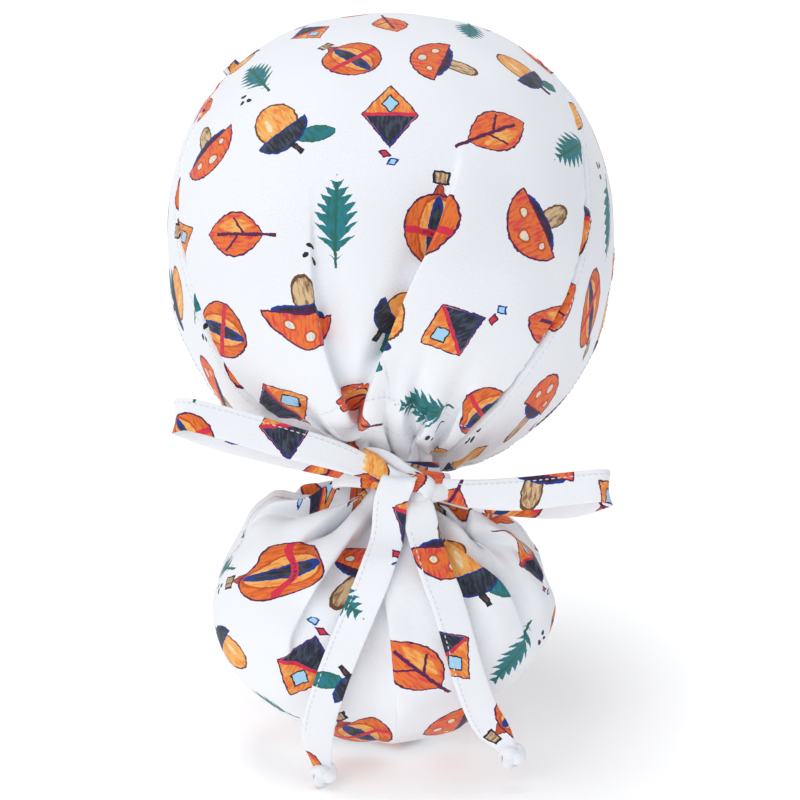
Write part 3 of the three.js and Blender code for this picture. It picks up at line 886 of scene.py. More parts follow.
def tie_ways(places, widthway):
    """The way along a tie and the way across it, square to each other, at each of its places."""
    run = unit(np.gradient(places, axis=0))
    return run, unit(widthway - run * spread((widthway * run).sum(-1)))


def strip_grid(places, widthway, width, wall, seed, crease, around=24, curl=0.0):
    """Points and chart of a flat tie with soft edges along places, and the way it faces. crease:
    how high its small creases are; around: points round it; curl: how far its edges lift, as a
    share of its width."""
    run, side = tie_ways(places, widthway)
    face = np.cross(run, side)
    angle = np.linspace(-np.pi, np.pi, around + 1)
    flat = np.sign(np.cos(angle)) * np.abs(np.cos(angle)) ** 0.5
    thick = np.sign(np.sin(angle)) * np.abs(np.sin(angle)) ** 0.75
    width, wall = np.broadcast_to(width, len(places)), np.broadcast_to(wall, len(places))
    across = flat[None, :] * width[:, None] / 2
    lift = thick[None, :] * wall[:, None] / 2 + curl * (flat[None, :] ** 2) * width[:, None]
    steps = CREASE_STEP * np.arange(len(places))[:, None]
    flat_points = np.stack([across, steps + 0 * across, 0 * across], -1)
    lift += np.broadcast_to(crease, len(places))[:, None] * ripple(flat_points, CREASE_WAVE, seed)
    points = places[:, None] + side[:, None] * spread(across) + face[:, None] * spread(lift)
    charts = np.empty(points.shape[:2] + (2,))
    charts[..., 0] = np.where(thick >= 0, flat, 2 - flat) * TIE_WIDTH / 2
    charts[..., 1] = lengths(places)[:, None]
    return points, charts + seed * TIE_CUT, face


def resampled(points, steps):
    """A smooth line through a few points, as many evenly placed ones."""
    share = np.linspace(0, 1, 400)
    line = np.stack([curve(values, share) for values in np.array(points).T], -1)
    length = lengths(line)
    return rows_at(line, length, np.linspace(0, length[-1], steps))


KNOT_CENTRE = neck_point(0, KNOT_OUT, -KNOT_FALL) + RIGHT * KNOT_SHIFT
# How far the loops' ends lie inside the knot
LOOP_HIDDEN = 3 * MM


def knot_points(rows):
    """Points by millimetres to the right of, above and behind the knot's middle."""
    return np.array([KNOT_CENTRE + MM * (a * RIGHT + b * NECK_UP + c * NECK_BACK)
                     for a, b, c in rows])


def loop_line(table, side, length, steps):
    share = np.linspace(0, 1, steps)
    start = KNOT_CENTRE + side * RIGHT * (KNOT_WIDTH / 2 - LOOP_HIDDEN)
    places = start + np.stack(
        [
            side * column(table, "out", share) * (length + LOOP_HIDDEN),
            column(table, "back", share) * TIE_WIDTH,
            column(table, "up", share) * TIE_WIDTH,
        ],
        -1,
    )
    lean = np.radians(column(table, "lean", share))
    widthway = np.stack([0 * lean, np.sin(lean), np.cos(lean)], -1)
    return places, widthway, column(table, "wide", share) * TIE_WIDTH, share


# Materials

MATH, VECTOR, MIX = "ShaderNodeMath", "ShaderNodeVectorMath", "ShaderNodeMix"
SEPARATE, COMBINE = "ShaderNodeSeparateXYZ", "ShaderNodeCombineXYZ"
NOISE, MAPPING = "ShaderNodeTexNoise", "ShaderNodeMapping"


def add(tree, kind, inputs=(), output=0, **settings):
    """Adds a node with its settings and gives an output of it. inputs sets or links its inputs,
    in their order or by number or name."""
    node = tree.nodes.new(kind)
    for name, value in settings.items():
        setattr(node, name, value)
    for name, value in inputs.items() if isinstance(inputs, dict) else enumerate(inputs):
        if isinstance(value, bpy.types.NodeSocket):
            tree.links.new(value, node.inputs[name])
        else:
            node.inputs[name].default_value = value
    return node.outputs[output]


# A wave texture with a scale of 1 has one wave in each 0.314 units.
WAVE_SCALE = 0.314
# How the ribs of the weave and the strokes of the brush slant, in degrees
TWILL_TURN = 52
BRUSH_TURN = 35
# The ink outline's width in millimetres, a row's height as a share of the motifs' spacing, how
# many of a motif's own millimetres lie in one of the cloth's, how far in millimetres the motifs
# stray from an even layout, and how far the brush wanders
OUTLINE = 0.75
ROW_SHARE = 0.93
MOTIF_SCALE = 0.84
STRAY = (7, 6, 0)
WANDER = (1.6, 1.6, 0)

# The printed motifs, painted layer by layer. x, y, w, h: middle and half size in millimetres;
# turn in degrees; fill and stroke: the two tones of the brush; edge: the outline.
Layer = namedtuple("Layer", "shape x y w h turn fill stroke edge")
INK = {
    "orange": "#EC7A38",
    "rust": "#C9552A",
    "ochre": "#F6B965",
    "sand": "#DDBD92",
    "brown": "#6E4A34",
    "night": "#2B2D3A",
    "slate": "#4A5664",
    "blue": "#1E3F94",
    "sky": "#A9D6F3",
    "red": "#D9344C",
    "plum": "#5E2350",
    "teal": "#2C7F8B",
    "green": "#2F6B5C",
    "cream": "#F7E3BE",
}
MOTIFS = [
    [  # balloon
        Layer("box", 0, -16, 3.4, 2.6, 0, "sand", "brown", "night"),
        Layer("cone", 0, -9.5, 6.4, 5.2, 180, "rust", "plum", "plum"),
        Layer("oval", 0, 3.5, 13.2, 13.6, 0, "orange", "rust", "plum"),
        Layer("oval", 0, 3.5, 7.2, 13, 0, "ochre", "orange", "rust"),
        Layer("oval", 0, 3.5, 3, 12.6, 0, "night", "slate", "blue"),
        Layer("box", 0, 5, 12.4, 1.3, 0, "red", "plum", "red"),
    ],
    [  # toadstool
        Layer("oval", 0.5, -9, 4.4, 9, 4, "sand", "brown", "brown"),
        Layer("oval", 0, -1.6, 12.6, 3.8, 0, "night", "plum", "blue"),
        Layer("dome", 0, -2, 16, 15, 0, "orange", "red", "plum"),
        Layer("oval", -7, 3.4, 2.6, 2.2, 20, "cream", "sky", "rust"),
        Layer("oval", 1.5, 7.4, 3.2, 2.5, 0, "cream", "sky", "rust"),
        Layer("oval", 8.6, 2.2, 2.2, 1.9, -20, "cream", "sky", "rust"),
    ],
    [  # acorn with a leaf
        Layer("leaf", 10, 10, 3.8, 9.5, -62, "teal", "green", "green"),
        Layer("oval", 0, -6, 9.2, 11.8, 0, "ochre", "orange", "brown"),
        Layer("oval", -3, -7, 1.7, 6.4, 6, "cream", "ochre", "ochre"),
        Layer("dome", 0, -1, 11.6, 9.6, 0, "night", "slate", "blue"),
        Layer("box", 1.2, 10.6, 1.2, 3.4, -14, "brown", "night", "night"),
    ],
    [  # kite
        Layer("diamond", 0, 3, 11.4, 15.4, 0, "orange", "ochre", "plum"),
        Layer("cone", 0, -4.4, 10.2, 7.2, 180, "night", "slate", "blue"),
        Layer("diamond", 0, 8.2, 3.8, 5, 0, "sky", "sky", "night"),
        Layer("box", 0, 3, 10.4, 0.8, 0, "red", "plum", "red"),
        Layer("diamond", 1.8, -14.6, 2.8, 1.9, 20, "red", "red", "plum"),
        Layer("diamond", -1.2, -18, 2.8, 1.9, -24, "sky", "sky", "blue"),
    ],
    [  # autumn leaf
        Layer("leaf", 0, 2, 9.4, 15, 0, "orange", "red", "plum"),
        Layer("leaf", -3.4, 2, 3.4, 10, 0, "ochre", "orange", "orange"),
        Layer("box", 0, -3.4, 0.7, 15, 0, "plum", "plum", "plum"),
        Layer("box", 3.6, 3, 0.5, 4.4, -48, "plum", "plum", "plum"),
        Layer("box", -3.6, 0, 0.5, 4.4, 48, "plum", "plum", "plum"),
    ],
    [  # fern
        Layer("frond", 0, 1, 8.8, 17, 0, "teal", "green", "teal"),
        Layer("box", 0, -2, 0.6, 16.6, 0, "green", "green", "green"),
        Layer("oval", 10.5, -10, 1.5, 1.0, 30, "night", "night", "night"),
        Layer("oval", 12.5, -13.6, 1.5, 1.0, -30, "night", "night", "night"),
        Layer("oval", 9.5, -15.5, 1.5, 1.0, 60, "night", "night", "night"),
    ],
]


def layer_edge(tree, layer, place):
    """How far out of a layer's shape a place is: 1 at its outline."""
    local = add(
        tree,
        MAPPING,
        [place, (layer.x, layer.y, 0), (0, 0, np.radians(layer.turn)), (layer.w, layer.h, 1)],
        vector_type="TEXTURE",
    )
    if layer.shape == "oval":
        return add(tree, VECTOR, [local], "Value", operation="LENGTH")
    size = add(tree, VECTOR, [local], operation="ABSOLUTE")
    if layer.shape == "diamond":
        return add(tree, VECTOR, [size, (1, 1, 0)], "Value", operation="DOT_PRODUCT")
    up = add(tree, SEPARATE, [local], "Y")
    wide = add(tree, SEPARATE, [size], "X")
    high = add(tree, SEPARATE, [size], "Y")
    if layer.shape == "box":
        return add(tree, MATH, [wide, high], operation="MAXIMUM")
    if layer.shape == "dome":
        length = add(tree, VECTOR, [local], "Value", operation="LENGTH")
        below = add(tree, MATH, [1, up], operation="SUBTRACT")
        return add(tree, MATH, [length, below], operation="MAXIMUM")
    if layer.shape == "cone":
        slope = add(tree, MATH, [wide, 2, up], operation="MULTIPLY_ADD")
        return add(tree, MATH, [slope, high], operation="MAXIMUM")
    lens = add(tree, MATH, [up, up, wide], operation="MULTIPLY_ADD")
    if layer.shape == "leaf":
        return lens
    # A frond's outline is notched along slanting lines.
    slant = add(tree, MATH, [wide, -0.4, up], operation="MULTIPLY_ADD")
    steps = add(tree, MATH, [slant, 4.2], operation="MULTIPLY")
    tooth = add(tree, MATH, [steps, 0.5], operation="PINGPONG")
    return add(tree, MATH, [tooth, 1.1, lens], operation="MULTIPLY_ADD")


def paint_motif(tree, layers, place, hatch, cloth):
    """The colour of one motif on the cloth."""
    colour = cloth
    for layer in layers:
        edge = layer_edge(tree, layer, place)
        line = OUTLINE / min(layer.w, layer.h)
        inside = add(tree, MATH, [edge, 1], operation="LESS_THAN")
        body = add(tree, MATH, [edge, max(1 - line, 0.4)], operation="LESS_THAN")
        outline, fill, stroke = (linear(INK[ink]) for ink in (layer.edge, layer.fill, layer.stroke))
        colour = add(tree, MIX, {0: inside, 6: colour, 7: outline}, 2, data_type="RGBA")
        filled = add(tree, MIX, {0: hatch, 6: fill, 7: stroke}, 2, data_type="RGBA")
        colour = add(tree, MIX, {0: body, 6: colour, 7: filled}, 2, data_type="RGBA")
    return colour


def brick(tree, chart):
    """The brick of the print that each place is in: its number in its row, its row, and how far
    the place is across and up from the brick's middle, in millimetres."""
    across = bpy.context.scene.scrub_cap_sizes.print_spacing / MM
    up = across * ROW_SHARE
    x = add(tree, MATH, [add(tree, SEPARATE, [chart], "X"), across], operation="DIVIDE")
    y = add(tree, MATH, [add(tree, SEPARATE, [chart], "Y"), up], operation="DIVIDE")
    row = add(tree, MATH, [y], operation="FLOOR")
    x = add(tree, MATH, [row, 0.5, x], operation="MULTIPLY_ADD")
    cell = add(tree, MATH, [x], operation="FLOOR")
    right = add(tree, MATH, [x], operation="FRACT")
    top = add(tree, MATH, [y], operation="FRACT")
    place = add(tree, COMBINE, [right, top])
    centred = add(tree, VECTOR, [place, (0.5, 0.5, 0)], operation="SUBTRACT")
    return cell, row, add(tree, VECTOR, [centred, (across, up, 0)], operation="MULTIPLY")


def brush(tree, chart, place):
    """Strength of the darker brush strokes, about 1 mm wide, which lie one way in a motif."""
    turn = (0, 0, np.radians(BRUSH_TURN))
    slant = add(tree, MAPPING, {"Vector": place, "Rotation": turn, "Scale": (1, 0.2, 1)})
    stroke = add(tree, NOISE, {"Vector": slant, "Scale": 0.85, "Detail": 2})
    wash = add(tree, NOISE, {"Vector": chart, "Scale": 0.16, "Detail": 3})
    paint = add(tree, MATH, [wash, 0.6, stroke], operation="MULTIPLY_ADD")
    return add(
        tree, "ShaderNodeMapRange", [paint, 0.7, 0.98, 0, 0.85], interpolation_type="SMOOTHSTEP"
    )


def print_colour(tree, chart, cloth):
    """Colour of a scattered print of hand-painted motifs, in bricks of one motif each."""
    cell, row, inside = brick(tree, chart)
    brick_number = add(tree, COMBINE, [cell, row])
    chance = add(tree, "ShaderNodeTexWhiteNoise", {"Vector": brick_number}, "Color",
                 noise_dimensions="2D")
    jitter = add(tree, VECTOR, [chance, (0.5, 0.5, 0)], operation="SUBTRACT")
    moved = add(tree, VECTOR, [jitter, STRAY, inside], operation="MULTIPLY_ADD")
    moved = add(tree, VECTOR, [moved, (MOTIF_SCALE, MOTIF_SCALE, 0)], operation="MULTIPLY")
    angle = add(tree, MATH, [add(tree, SEPARATE, [chance], "Z"), 2 * np.pi], operation="MULTIPLY")
    turned = add(
        tree, "ShaderNodeVectorRotate", {"Vector": moved, "Angle": angle}, rotation_type="Z_AXIS"
    )
    # The brush leaves a slightly uneven outline, in waves of about 3 mm.
    rough = add(tree, NOISE, {"Vector": chart, "Scale": 0.33, "Detail": 2}, "Color")
    wander = add(tree, VECTOR, [rough, (0.5, 0.5, 0.5)], operation="SUBTRACT")
    place = add(tree, VECTOR, [wander, WANDER, turned], operation="MULTIPLY_ADD")
    hatch = brush(tree, chart, place)
    # Neighbours in a row are one motif apart and those in the next row two or three.
    order = add(tree, MATH, [row, 2, cell], operation="MULTIPLY_ADD")
    order = add(tree, MATH, [order, len(MOTIFS)], operation="FLOORED_MODULO")
    colour = paint_motif(tree, MOTIFS[0], place, hatch, cloth)
    for i, layers in enumerate(MOTIFS[1:], 1):
        chosen = add(tree, MATH, [order, i - 0.5], operation="GREATER_THAN")
        motif = paint_motif(tree, layers, place, hatch, cloth)
        colour = add(tree, MIX, {0: chosen, 6: colour, 7: motif}, 2, data_type="RGBA")
    return colour


def new_material(name):
    material = bpy.data.materials.new(name)
    material.use_nodes = True
    tree = material.node_tree
    return material, tree, tree.nodes["Principled BSDF"]


def twill(tree, chart, shader, strength):
    """The weave: fine diagonal ribs with the single threads crossing them, drawn a little
    coarser than real ones so that they show. It gives how thick the threads are, from place to
    place."""
    pitch = bpy.context.scene.scrub_cap_sizes.twill_pitch / MM
    slope = add(tree, MAPPING, {"Vector": chart, "Rotation": (0, 0, np.radians(TWILL_TURN))})
    rib = add(
        tree,
        "ShaderNodeTexWave",
        {"Vector": slope, "Scale": WAVE_SCALE / pitch, "Distortion": 0.6, "Detail Scale": 3},
        "Fac",
        bands_direction="X",
    )
    slub = add(tree, NOISE, {"Vector": chart, "Scale": 1.2, "Detail": 3})
    height = add(tree, MATH, [slub, 1.1, rib], operation="MULTIPLY_ADD")
    weave = {"Strength": strength, "Distance": 0.12 * MM, "Height": height}
    tree.links.new(add(tree, "ShaderNodeBump", weave), shader.inputs["Normal"])
    return slub


def cloth_chart(tree):
    """The cloth's UV map in millimetres."""
    uv = add(tree, "ShaderNodeUVMap", uv_map="Cloth")
    return add(tree, VECTOR, [uv, (1 / MM, 1 / MM, 0)], operation="MULTIPLY")


def printed_cotton():
    """Cotton twill printed on its right side, washed and pressed: matt, with a soft nap that
    lightens its edges, faint diagonal ribs, and ink that sinks into the threads."""
    colours = bpy.context.scene.scrub_cap_colours
    material, tree, shader = new_material("printed_cotton_twill")
    chart = cloth_chart(tree)
    slub = twill(tree, chart, shader, 0.35)
    colour = print_colour(tree, chart, tuple(colours.cloth))
    tone = add(tree, "ShaderNodeMapRange", [slub, 0.25, 0.75, 0.96, 1.01])
    colour = add(tree, VECTOR, [colour, tone], operation="MULTIPLY")
    tree.links.new(colour, shader.inputs["Base Color"])
    shader.inputs["Roughness"].default_value = 0.9
    shader.inputs["Specular IOR Level"].default_value = 0.25
    shader.inputs["Sheen Weight"].default_value = 0.15
    shader.inputs["Sheen Roughness"].default_value = 0.5
    return material


def unprinted_cotton():
    """The wrong side of the same cotton: the ink only ghosts through the white threads."""
    colours = bpy.context.scene.scrub_cap_colours
    material, tree, shader = new_material("cotton_twill_wrong_side")
    chart = cloth_chart(tree)
    twill(tree, chart, shader, 0.5)
    cloth = tuple(colours.wrong_side)
    ink = print_colour(tree, chart, cloth)
    ghost = add(tree, MIX, {0: 0.16, 6: cloth, 7: ink}, 2, data_type="RGBA")
    tree.links.new(ghost, shader.inputs["Base Color"])
    shader.inputs["Roughness"].default_value = 0.95
    shader.inputs["Specular IOR Level"].default_value = 0.2
    return material


def sewing_thread():
    """Spun polyester thread, twisted: a little shinier and smoother than the cotton. Its colour is
    set darker than the white cloth's, as painted shade of the small dents that the stitches press
    into the cloth.
    """
    colours = bpy.context.scene.scrub_cap_colours
    material, tree, shader = new_material("thread_with_painted_dent_shade")
    place = add(tree, "ShaderNodeTexCoord", output="Object")
    # The ply twists about each 0.5 mm.
    twist = {"Vector": place, "Scale": WAVE_SCALE / (0.5 * MM)}
    ply = add(tree, "ShaderNodeTexWave", twist, "Fac")
    bump = add(tree, "ShaderNodeBump", {"Distance": 0.05 * MM, "Height": ply})
    tree.links.new(bump, shader.inputs["Normal"])
    # This darker colour is painted shade of the dents beside each stitch, not the thread's own
    # white.
    shader.inputs["Base Color"].default_value = tuple(colours.thread)
    shader.inputs["Roughness"].default_value = 0.6
    return material


def material_named(name, make):
    return bpy.data.materials.get(name) or make()


def cloths():
    return [
        material_named("printed_cotton_twill", printed_cotton),
        material_named("cotton_twill_wrong_side", unprinted_cotton),
    ]


# Stitches


def one_stitch():
    bm = bmesh.new()
    bmesh.ops.create_uvsphere(bm, u_segments=6, v_segments=4, radius=1)
    mesh = bpy.data.meshes.new("stitch")
    bm.to_mesh(mesh)
    bm.free()
    return mesh


def stitch_line(bm, stitch, points, normals, pitch):
    """Adds a run of stitches along points on the cloth."""
    length = lengths(points)
    count = max(int(length[-1] / pitch), 1)
    middles = (np.arange(count) + 0.5) * length[-1] / count
    places, outward = (rows_at(table, length, middles) for table in (points, normals))
    before, after = (rows_at(points, length, middles + side * pitch / 4) for side in (-1, 1))
    for place, run, normal in zip(places, unit(after - before), outward):
        x = Vector(run)
        z = Vector(normal).normalized()
        y = z.cross(x).normalized()
        z = x.cross(y)
        turn = Matrix((x, y, z)).transposed().to_4x4()
        size = Matrix.Diagonal((STITCH_REACH * pitch, STITCH_WIDTH, STITCH_HEIGHT, 1))
        spot = Matrix.Translation(Vector(place) + z * STITCH_HEIGHT / 4) @ turn @ size
        stitch.transform(spot)
        bm.from_mesh(stitch)
        stitch.transform(spot.inverted())


def add_stitches(name, runs):
    """One piece of stitches from several runs of points and normals."""
    pitch = bpy.context.scene.scrub_cap_sizes.stitch_pitch
    bm = bmesh.new()
    stitch = one_stitch()
    for points, normals in runs:
        stitch_line(bm, stitch, points, normals, pitch)
    bpy.data.meshes.remove(stitch)
    for face in bm.faces:
        face.smooth = True
    mesh = bpy.data.meshes.new(name)
    bm.to_mesh(mesh)
    bm.free()
    # The thread's material carries painted shade of the stitches' dents in its colour.
    thread = material_named("thread_with_painted_dent_shade", sewing_thread)
    return add_piece(name, mesh, [thread])


def surface_run(surface, u, v):
    """Points and outward normals along a line on a sheet of cloth."""
    points, outward = surface(u, v)
    aside, _ = surface(u, np.clip(v + 2 * STEP, 0, 1))
    normals = unit(np.cross(np.gradient(points, axis=0), aside - points))
    return points, normals * np.sign((normals * outward).sum(-1, keepdims=True))


class SCRUBCAP_OT_crown(bpy.types.Operator):
    """Make the crown panel, from the gathered neck over the head to the forehead"""

    bl_idname = "scrubcap.crown"
    bl_label = "Crown panel"

    def execute(self, context):
        sizes = context.scene.scrub_cap_sizes
        # Rows lie closer towards the forehead.
        rows = 1 - (1 - np.linspace(0, 1, CROWN_ROWS)) ** 1.12
        edges = [0 * rows - 1, 0 * rows + 1]
        edges += [edge_places(panel_form, pleat, rows, 1) for pleat in CROWN_PLEATS]
        across = crowded(CROWN_COLUMNS, edges, width=0.05, gain=2.6)
        along = np.repeat(rows[:, None], across.shape[1], axis=1)
        points, _ = panel_surface(across, along)
        flat = panel_form(across, along)
        charts = printed_chart(unit(flat), direction(0, CROWN_CHART_RISE), RIGHT, CROWN_CHART)
        charts[..., 0] += hidden_length(points, flat)
        mesh = grid_mesh("crown_cloth", points, charts)
        add_piece(
            "crown_cloth", mesh, cloths(), ["crown_panel"], sizes.cloth_wall
        )
        return {"FINISHED"}


class SCRUBCAP_OT_band(bpy.types.Operator):
    """Make the brim band, round the sides of the head and over the forehead"""

    bl_idname = "scrubcap.band"
    bl_label = "Brim band"

    def execute(self, context):
        sizes = context.scene.scrub_cap_sizes
        places = np.linspace(-1, 1, BAND_COLUMNS)
        # Rows lie closer at the seam and the hem.
        rows = np.concatenate(
            [np.linspace(0, 0.1, 9)[:-1], np.linspace(0.1, 0.82, 20)[:-1],
             np.linspace(0.82, 1, 13)]
        )
        round_, across = np.meshgrid(places, rows)
        points, _ = band_surface(round_, across)
        steps = np.linalg.norm(np.diff(points, axis=1), axis=-1).mean(0)
        charts = np.empty(points.shape[:2] + (2,))
        charts[..., 0] = np.concatenate([[0], np.cumsum(steps)])
        charts[..., 1] = across * band_width(round_) + BAND_CUT
        mesh = grid_mesh("band_cloth", points, charts)
        add_piece("band_cloth", mesh, cloths(), ["brim_band"], sizes.cloth_wall)
        return {"FINISHED"}


class SCRUBCAP_OT_pouch(bpy.types.Operator):
    """Make the gathered pouch for the hair"""

    bl_idname = "scrubcap.pouch"
    bl_label = "Hair pouch"

    def execute(self, context):
        sizes = context.scene.scrub_cap_sizes
        rows = np.linspace(0, 1, POUCH_ROWS)
        edges = [edge_places(pouch_form, pleat, rows, -180) for pleat in POUCH_PLEATS]
        round_ = crowded(POUCH_COLUMNS, edges, width=0.035, gain=2)
        along = np.repeat(rows[:, None], round_.shape[1], axis=1)
        points, _ = pouch_surface(round_, along)
        flat = pouch_form(round_, along)
        turn = -180 * round_
        way = unit((flat - POUCH_CENTRE) / POUCH_HALF)
        back = printed_chart(way, np.array([0, -1.0, 0]), RIGHT, POUCH_CHART)
        front = printed_chart(way, np.array([0, 1.0, 0]), RIGHT, POUCH_CHART)
        back[..., 0] -= hidden_length(points, flat)
        charts = np.where(spread(np.abs(turn) <= 90), back, front + POUCH_FRONT_CUT)
        mesh = grid_mesh("pouch_cloth", points, charts + POUCH_CUT, joined=2e-6)
        add_piece(
            "pouch_cloth", mesh, cloths(), ["hair_pouch"], sizes.cloth_wall
        )
        return {"FINISHED"}


class SCRUBCAP_OT_bow(bpy.types.Operator):
    """Make the wrap of the ties round the neck, the knot, the loops and the tails"""

    bl_idname = "scrubcap.bow"
    bl_label = "Bow"

    def execute(self, context):
        wall = context.scene.scrub_cap_sizes.tie_wall
        make_wrap(wall)
        make_knot(wall)
        runs = [make_loop(loop, wall) for loop in LOOPS] + [make_tail(tail, wall) for tail in TAILS]
        add_stitches("tie_stitches", runs)
        return {"FINISHED"}


def add_tie(name, points, charts, nodes=()):
    mesh = grid_mesh(name, points, charts, joined=1e-6, ends=True)
    return add_piece(name, mesh, cloths()[:1], nodes)


def topstitch(places, widthway, width, wall, face, edge, stitched):
    """Points and outward normals of the row of stitches beside one edge of a tie."""
    _, side = tie_ways(places, widthway)
    out = face * np.sign((face * NECK_BACK).sum(-1, keepdims=True))
    points = places + edge * side * spread(width / 2 - TIE_INSET) + out * wall / 2
    return points[stitched], out[stitched]


# How high the small creases of the ties are, and how far from its ends a loop is creased
WRAP_CREASE = 0.35 * MM
KNOT_CREASE = 0.5 * MM
LOOP_CREASE = 0.7 * MM
LOOP_CREASE_REACH = 14 * MM
TAIL_CREASE = 0.5 * MM
TAIL_CREASE_SHARE = 0.06
END_KNOT_CREASE = 0.3 * MM


def make_wrap(wall):
    turn = np.linspace(-WRAP_REACH - WRAP_OVERLAP, WRAP_REACH + WRAP_OVERLAP, 90)
    places = neck_point(turn, WRAP_RADIUS + WRAP_STAND, 0 * turn)
    points, charts, _ = strip_grid(
        places, NECK_UP + 0 * places, WRAP_WIDTH, 1.3 * wall, 3, WRAP_CREASE
    )
    add_tie("wrap_cloth", points, charts, ["tie_wrap"])


# Strips of the knot: a line of points, right, up and back of its middle in millimetres, with
# the strip's width at its ends and its middle, how far its middle bulges, and how far it leans.
Wind = namedtuple("Wind", "name line ends middle bulge lean seed")
KNOT_WINDS = [
    Wind("core", [(-12, 1, -10), (-6, 0, -2), (0, -1, 1), (7, -1, -2), (13, 0, -10)], 11, 15,
         -0.02, 0, 2),
    Wind("wing_left", [(-32, 1, -25), (-35, 2.6, -15), (-29, 3.6, -7), (-17, 2.4, -0.5),
                       (-5, -0.5, 3)], 9, 10.5, -0.06, 0.08, 19),
    Wind("wing_right", [(-3, 3.5, 2), (5, 3, 4), (13, 1.8, 3), (21, 1.4, -3)], 7, 8.5,
         -0.08, 0.2, 14),
    Wind("behind", [(-20, 16, -3), (-13, 14.6, 2), (-7, 11.6, 4.5), (0, 6.6, 5.6), (8, 2.6, 4)],
         4.5, 5.5, -0.1, 0.5, 17),
    Wind("over", [(-23, 12.8, 2), (-17.5, 10.4, 6), (-12, 5.6, 8), (-6, 1.8, 8.4), (0, -1, 7)],
         11, 10, -0.1, 0.6, 5),
    Wind("root", [(-3, -5, 2), (5, -5.6, 5), (12, -4.6, 4), (20, -3.6, -1)], 8, 10.5,
         -0.1, 0.05, 23),
    Wind("lobe", [(0, 0, 5.5), (5.5, 0.4, 8.6), (10.5, -1.4, 8), (12, -5, 4), (7, -8, 1)],
         8, 9.5, -0.12, 0.4, 8),
]


def make_knot(wall):
    for wind in KNOT_WINDS:
        places = resampled(knot_points(wind.line), 48)
        share = np.linspace(-1, 1, len(places))
        width = lerp(wind.middle, wind.ends, share**2) * MM
        widthway = wind.lean * RIGHT + NECK_UP + 0 * places
        points, charts, _ = strip_grid(
            places, widthway, width, 1.5 * wall, wind.seed, KNOT_CREASE, curl=wind.bulge
        )
        nodes = ["bow_knot"] if wind is KNOT_WINDS[0] else ()
        add_tie("knot_" + wind.name, points, charts, nodes)


# The bow's loops, to the right of the knot where side is 1 and to its left where it is -1, and
# the steps along them that are stitched
Loop = namedtuple("Loop", "name side bends length seed")
LOOPS = [
    Loop("left", -1, LEFT_LOOP, LEFT_LOOP_LENGTH, 1),
    Loop("right", 1, RIGHT_LOOP, RIGHT_LOOP_LENGTH, 3),
]
LOOP_STITCHED = slice(12, 85)


def make_loop(loop, wall):
    places, widthway, width, share = loop_line(loop.bends, loop.side, loop.length, LOOP_STEPS)
    ends = np.minimum(share, 1 - share) * 2 * loop.length
    crease = LOOP_CREASE * np.exp(-ends / LOOP_CREASE_REACH)
    points, charts, face = strip_grid(places, widthway, width, wall, loop.seed, crease)
    add_tie(f"loop_{loop.name}_cloth", points, charts, [f"bow_loop_{loop.name}"])
    return topstitch(places, widthway, width, wall, face, 1, LOOP_STITCHED)


# The tails: how each leaves the knot, the left one folded over it and the right one from below,
# in knot_points' millimetres, then its route and how far it falls; and the steps that are stitched
Tail = namedtuple("Tail", "name head route drop seed")
TAILS = [
    Tail(
        "left",
        [(-1.5, -5, 4), (-2, -0.6, 6), (-2.6, 2, 8.6), (-4, 0.8, 11.4), (-7.6, -9, 10)],
        LEFT_TAIL, LEFT_TAIL_DROP, 24,
    ),
    Tail("right", [(1, -4, 3), (2.6, -8, 5), (5.6, -13, 6.5)], RIGHT_TAIL, RIGHT_TAIL_DROP, 26),
]
TAIL_STITCHED = slice(24, 156)


def tail_line(tail):
    """Places of a tail from the knot down over the pouch to its end knot."""
    knot_foot = KNOT_CENTRE - NECK_UP * (KNOT_HEIGHT / 2 + KNOT_GAP)
    top = knot_points(tail.head)
    share = np.linspace(0, 1, TAIL_PLACES)[1:]
    x = column(tail.route, "side", share) * POUCH_WIDTH / 2
    z = knot_foot[2] - tail.drop * share
    turn = np.radians(column(tail.route, "turn", share))
    round_, along = np.meshgrid(np.linspace(-0.5, 0.5, 241), np.linspace(0, 1, 200))
    cloth = pouch_surface(round_, along)[0].reshape(-1, 3)
    y = np.full(len(share), top[-1, 1])
    for i in range(len(share)):
        near = (np.abs(cloth[:, 0] - x[i]) < 0.5 * TIE_WIDTH) & (
            np.abs(cloth[:, 2] - z[i]) < tail.drop / (TAIL_PLACES - 1) / 2
        )
        if near.any():
            y[i] = cloth[near, 1].min() - TAIL_GAP - TIE_WIDTH / 2 * abs(np.sin(turn[i]))
    y = np.minimum.accumulate(np.minimum(y, top[-1, 1] + MM))
    places = resampled([*top, *np.stack([x, y, z], -1)], TAIL_STEPS)
    return places, np.radians(column(tail.route, "turn", np.linspace(0, 1, TAIL_STEPS)))


def make_tail(tail, wall):
    places, turn = tail_line(tail)
    widthway = np.stack([np.cos(turn), np.sin(turn), 0 * turn], -1)
    share = np.linspace(0, 1, len(places))
    width = TIE_WIDTH * lerp(0.8, 1, smooth(0, 0.05, share))
    width *= lerp(1, 0.5, smooth(0.86, 1, share))
    ends = np.exp(-share / TAIL_CREASE_SHARE) + np.exp(-(1 - share) / TAIL_CREASE_SHARE)
    crease = TAIL_CREASE * ends
    points, charts, face = strip_grid(places, widthway, width, wall, tail.seed, crease)
    cloth = add_tie(f"tail_{tail.name}_cloth", points, charts, [f"tie_tail_{tail.name}"])
    end = make_end_knot(tail.name, places[-1], wall)
    return topstitch(places, widthway, width, wall, face, -1, TAIL_STITCHED)


END_KNOT_SIZE = np.array([1.3, 1.5, 1.15]) * MM
END_KNOT_STRIP = 7 * MM


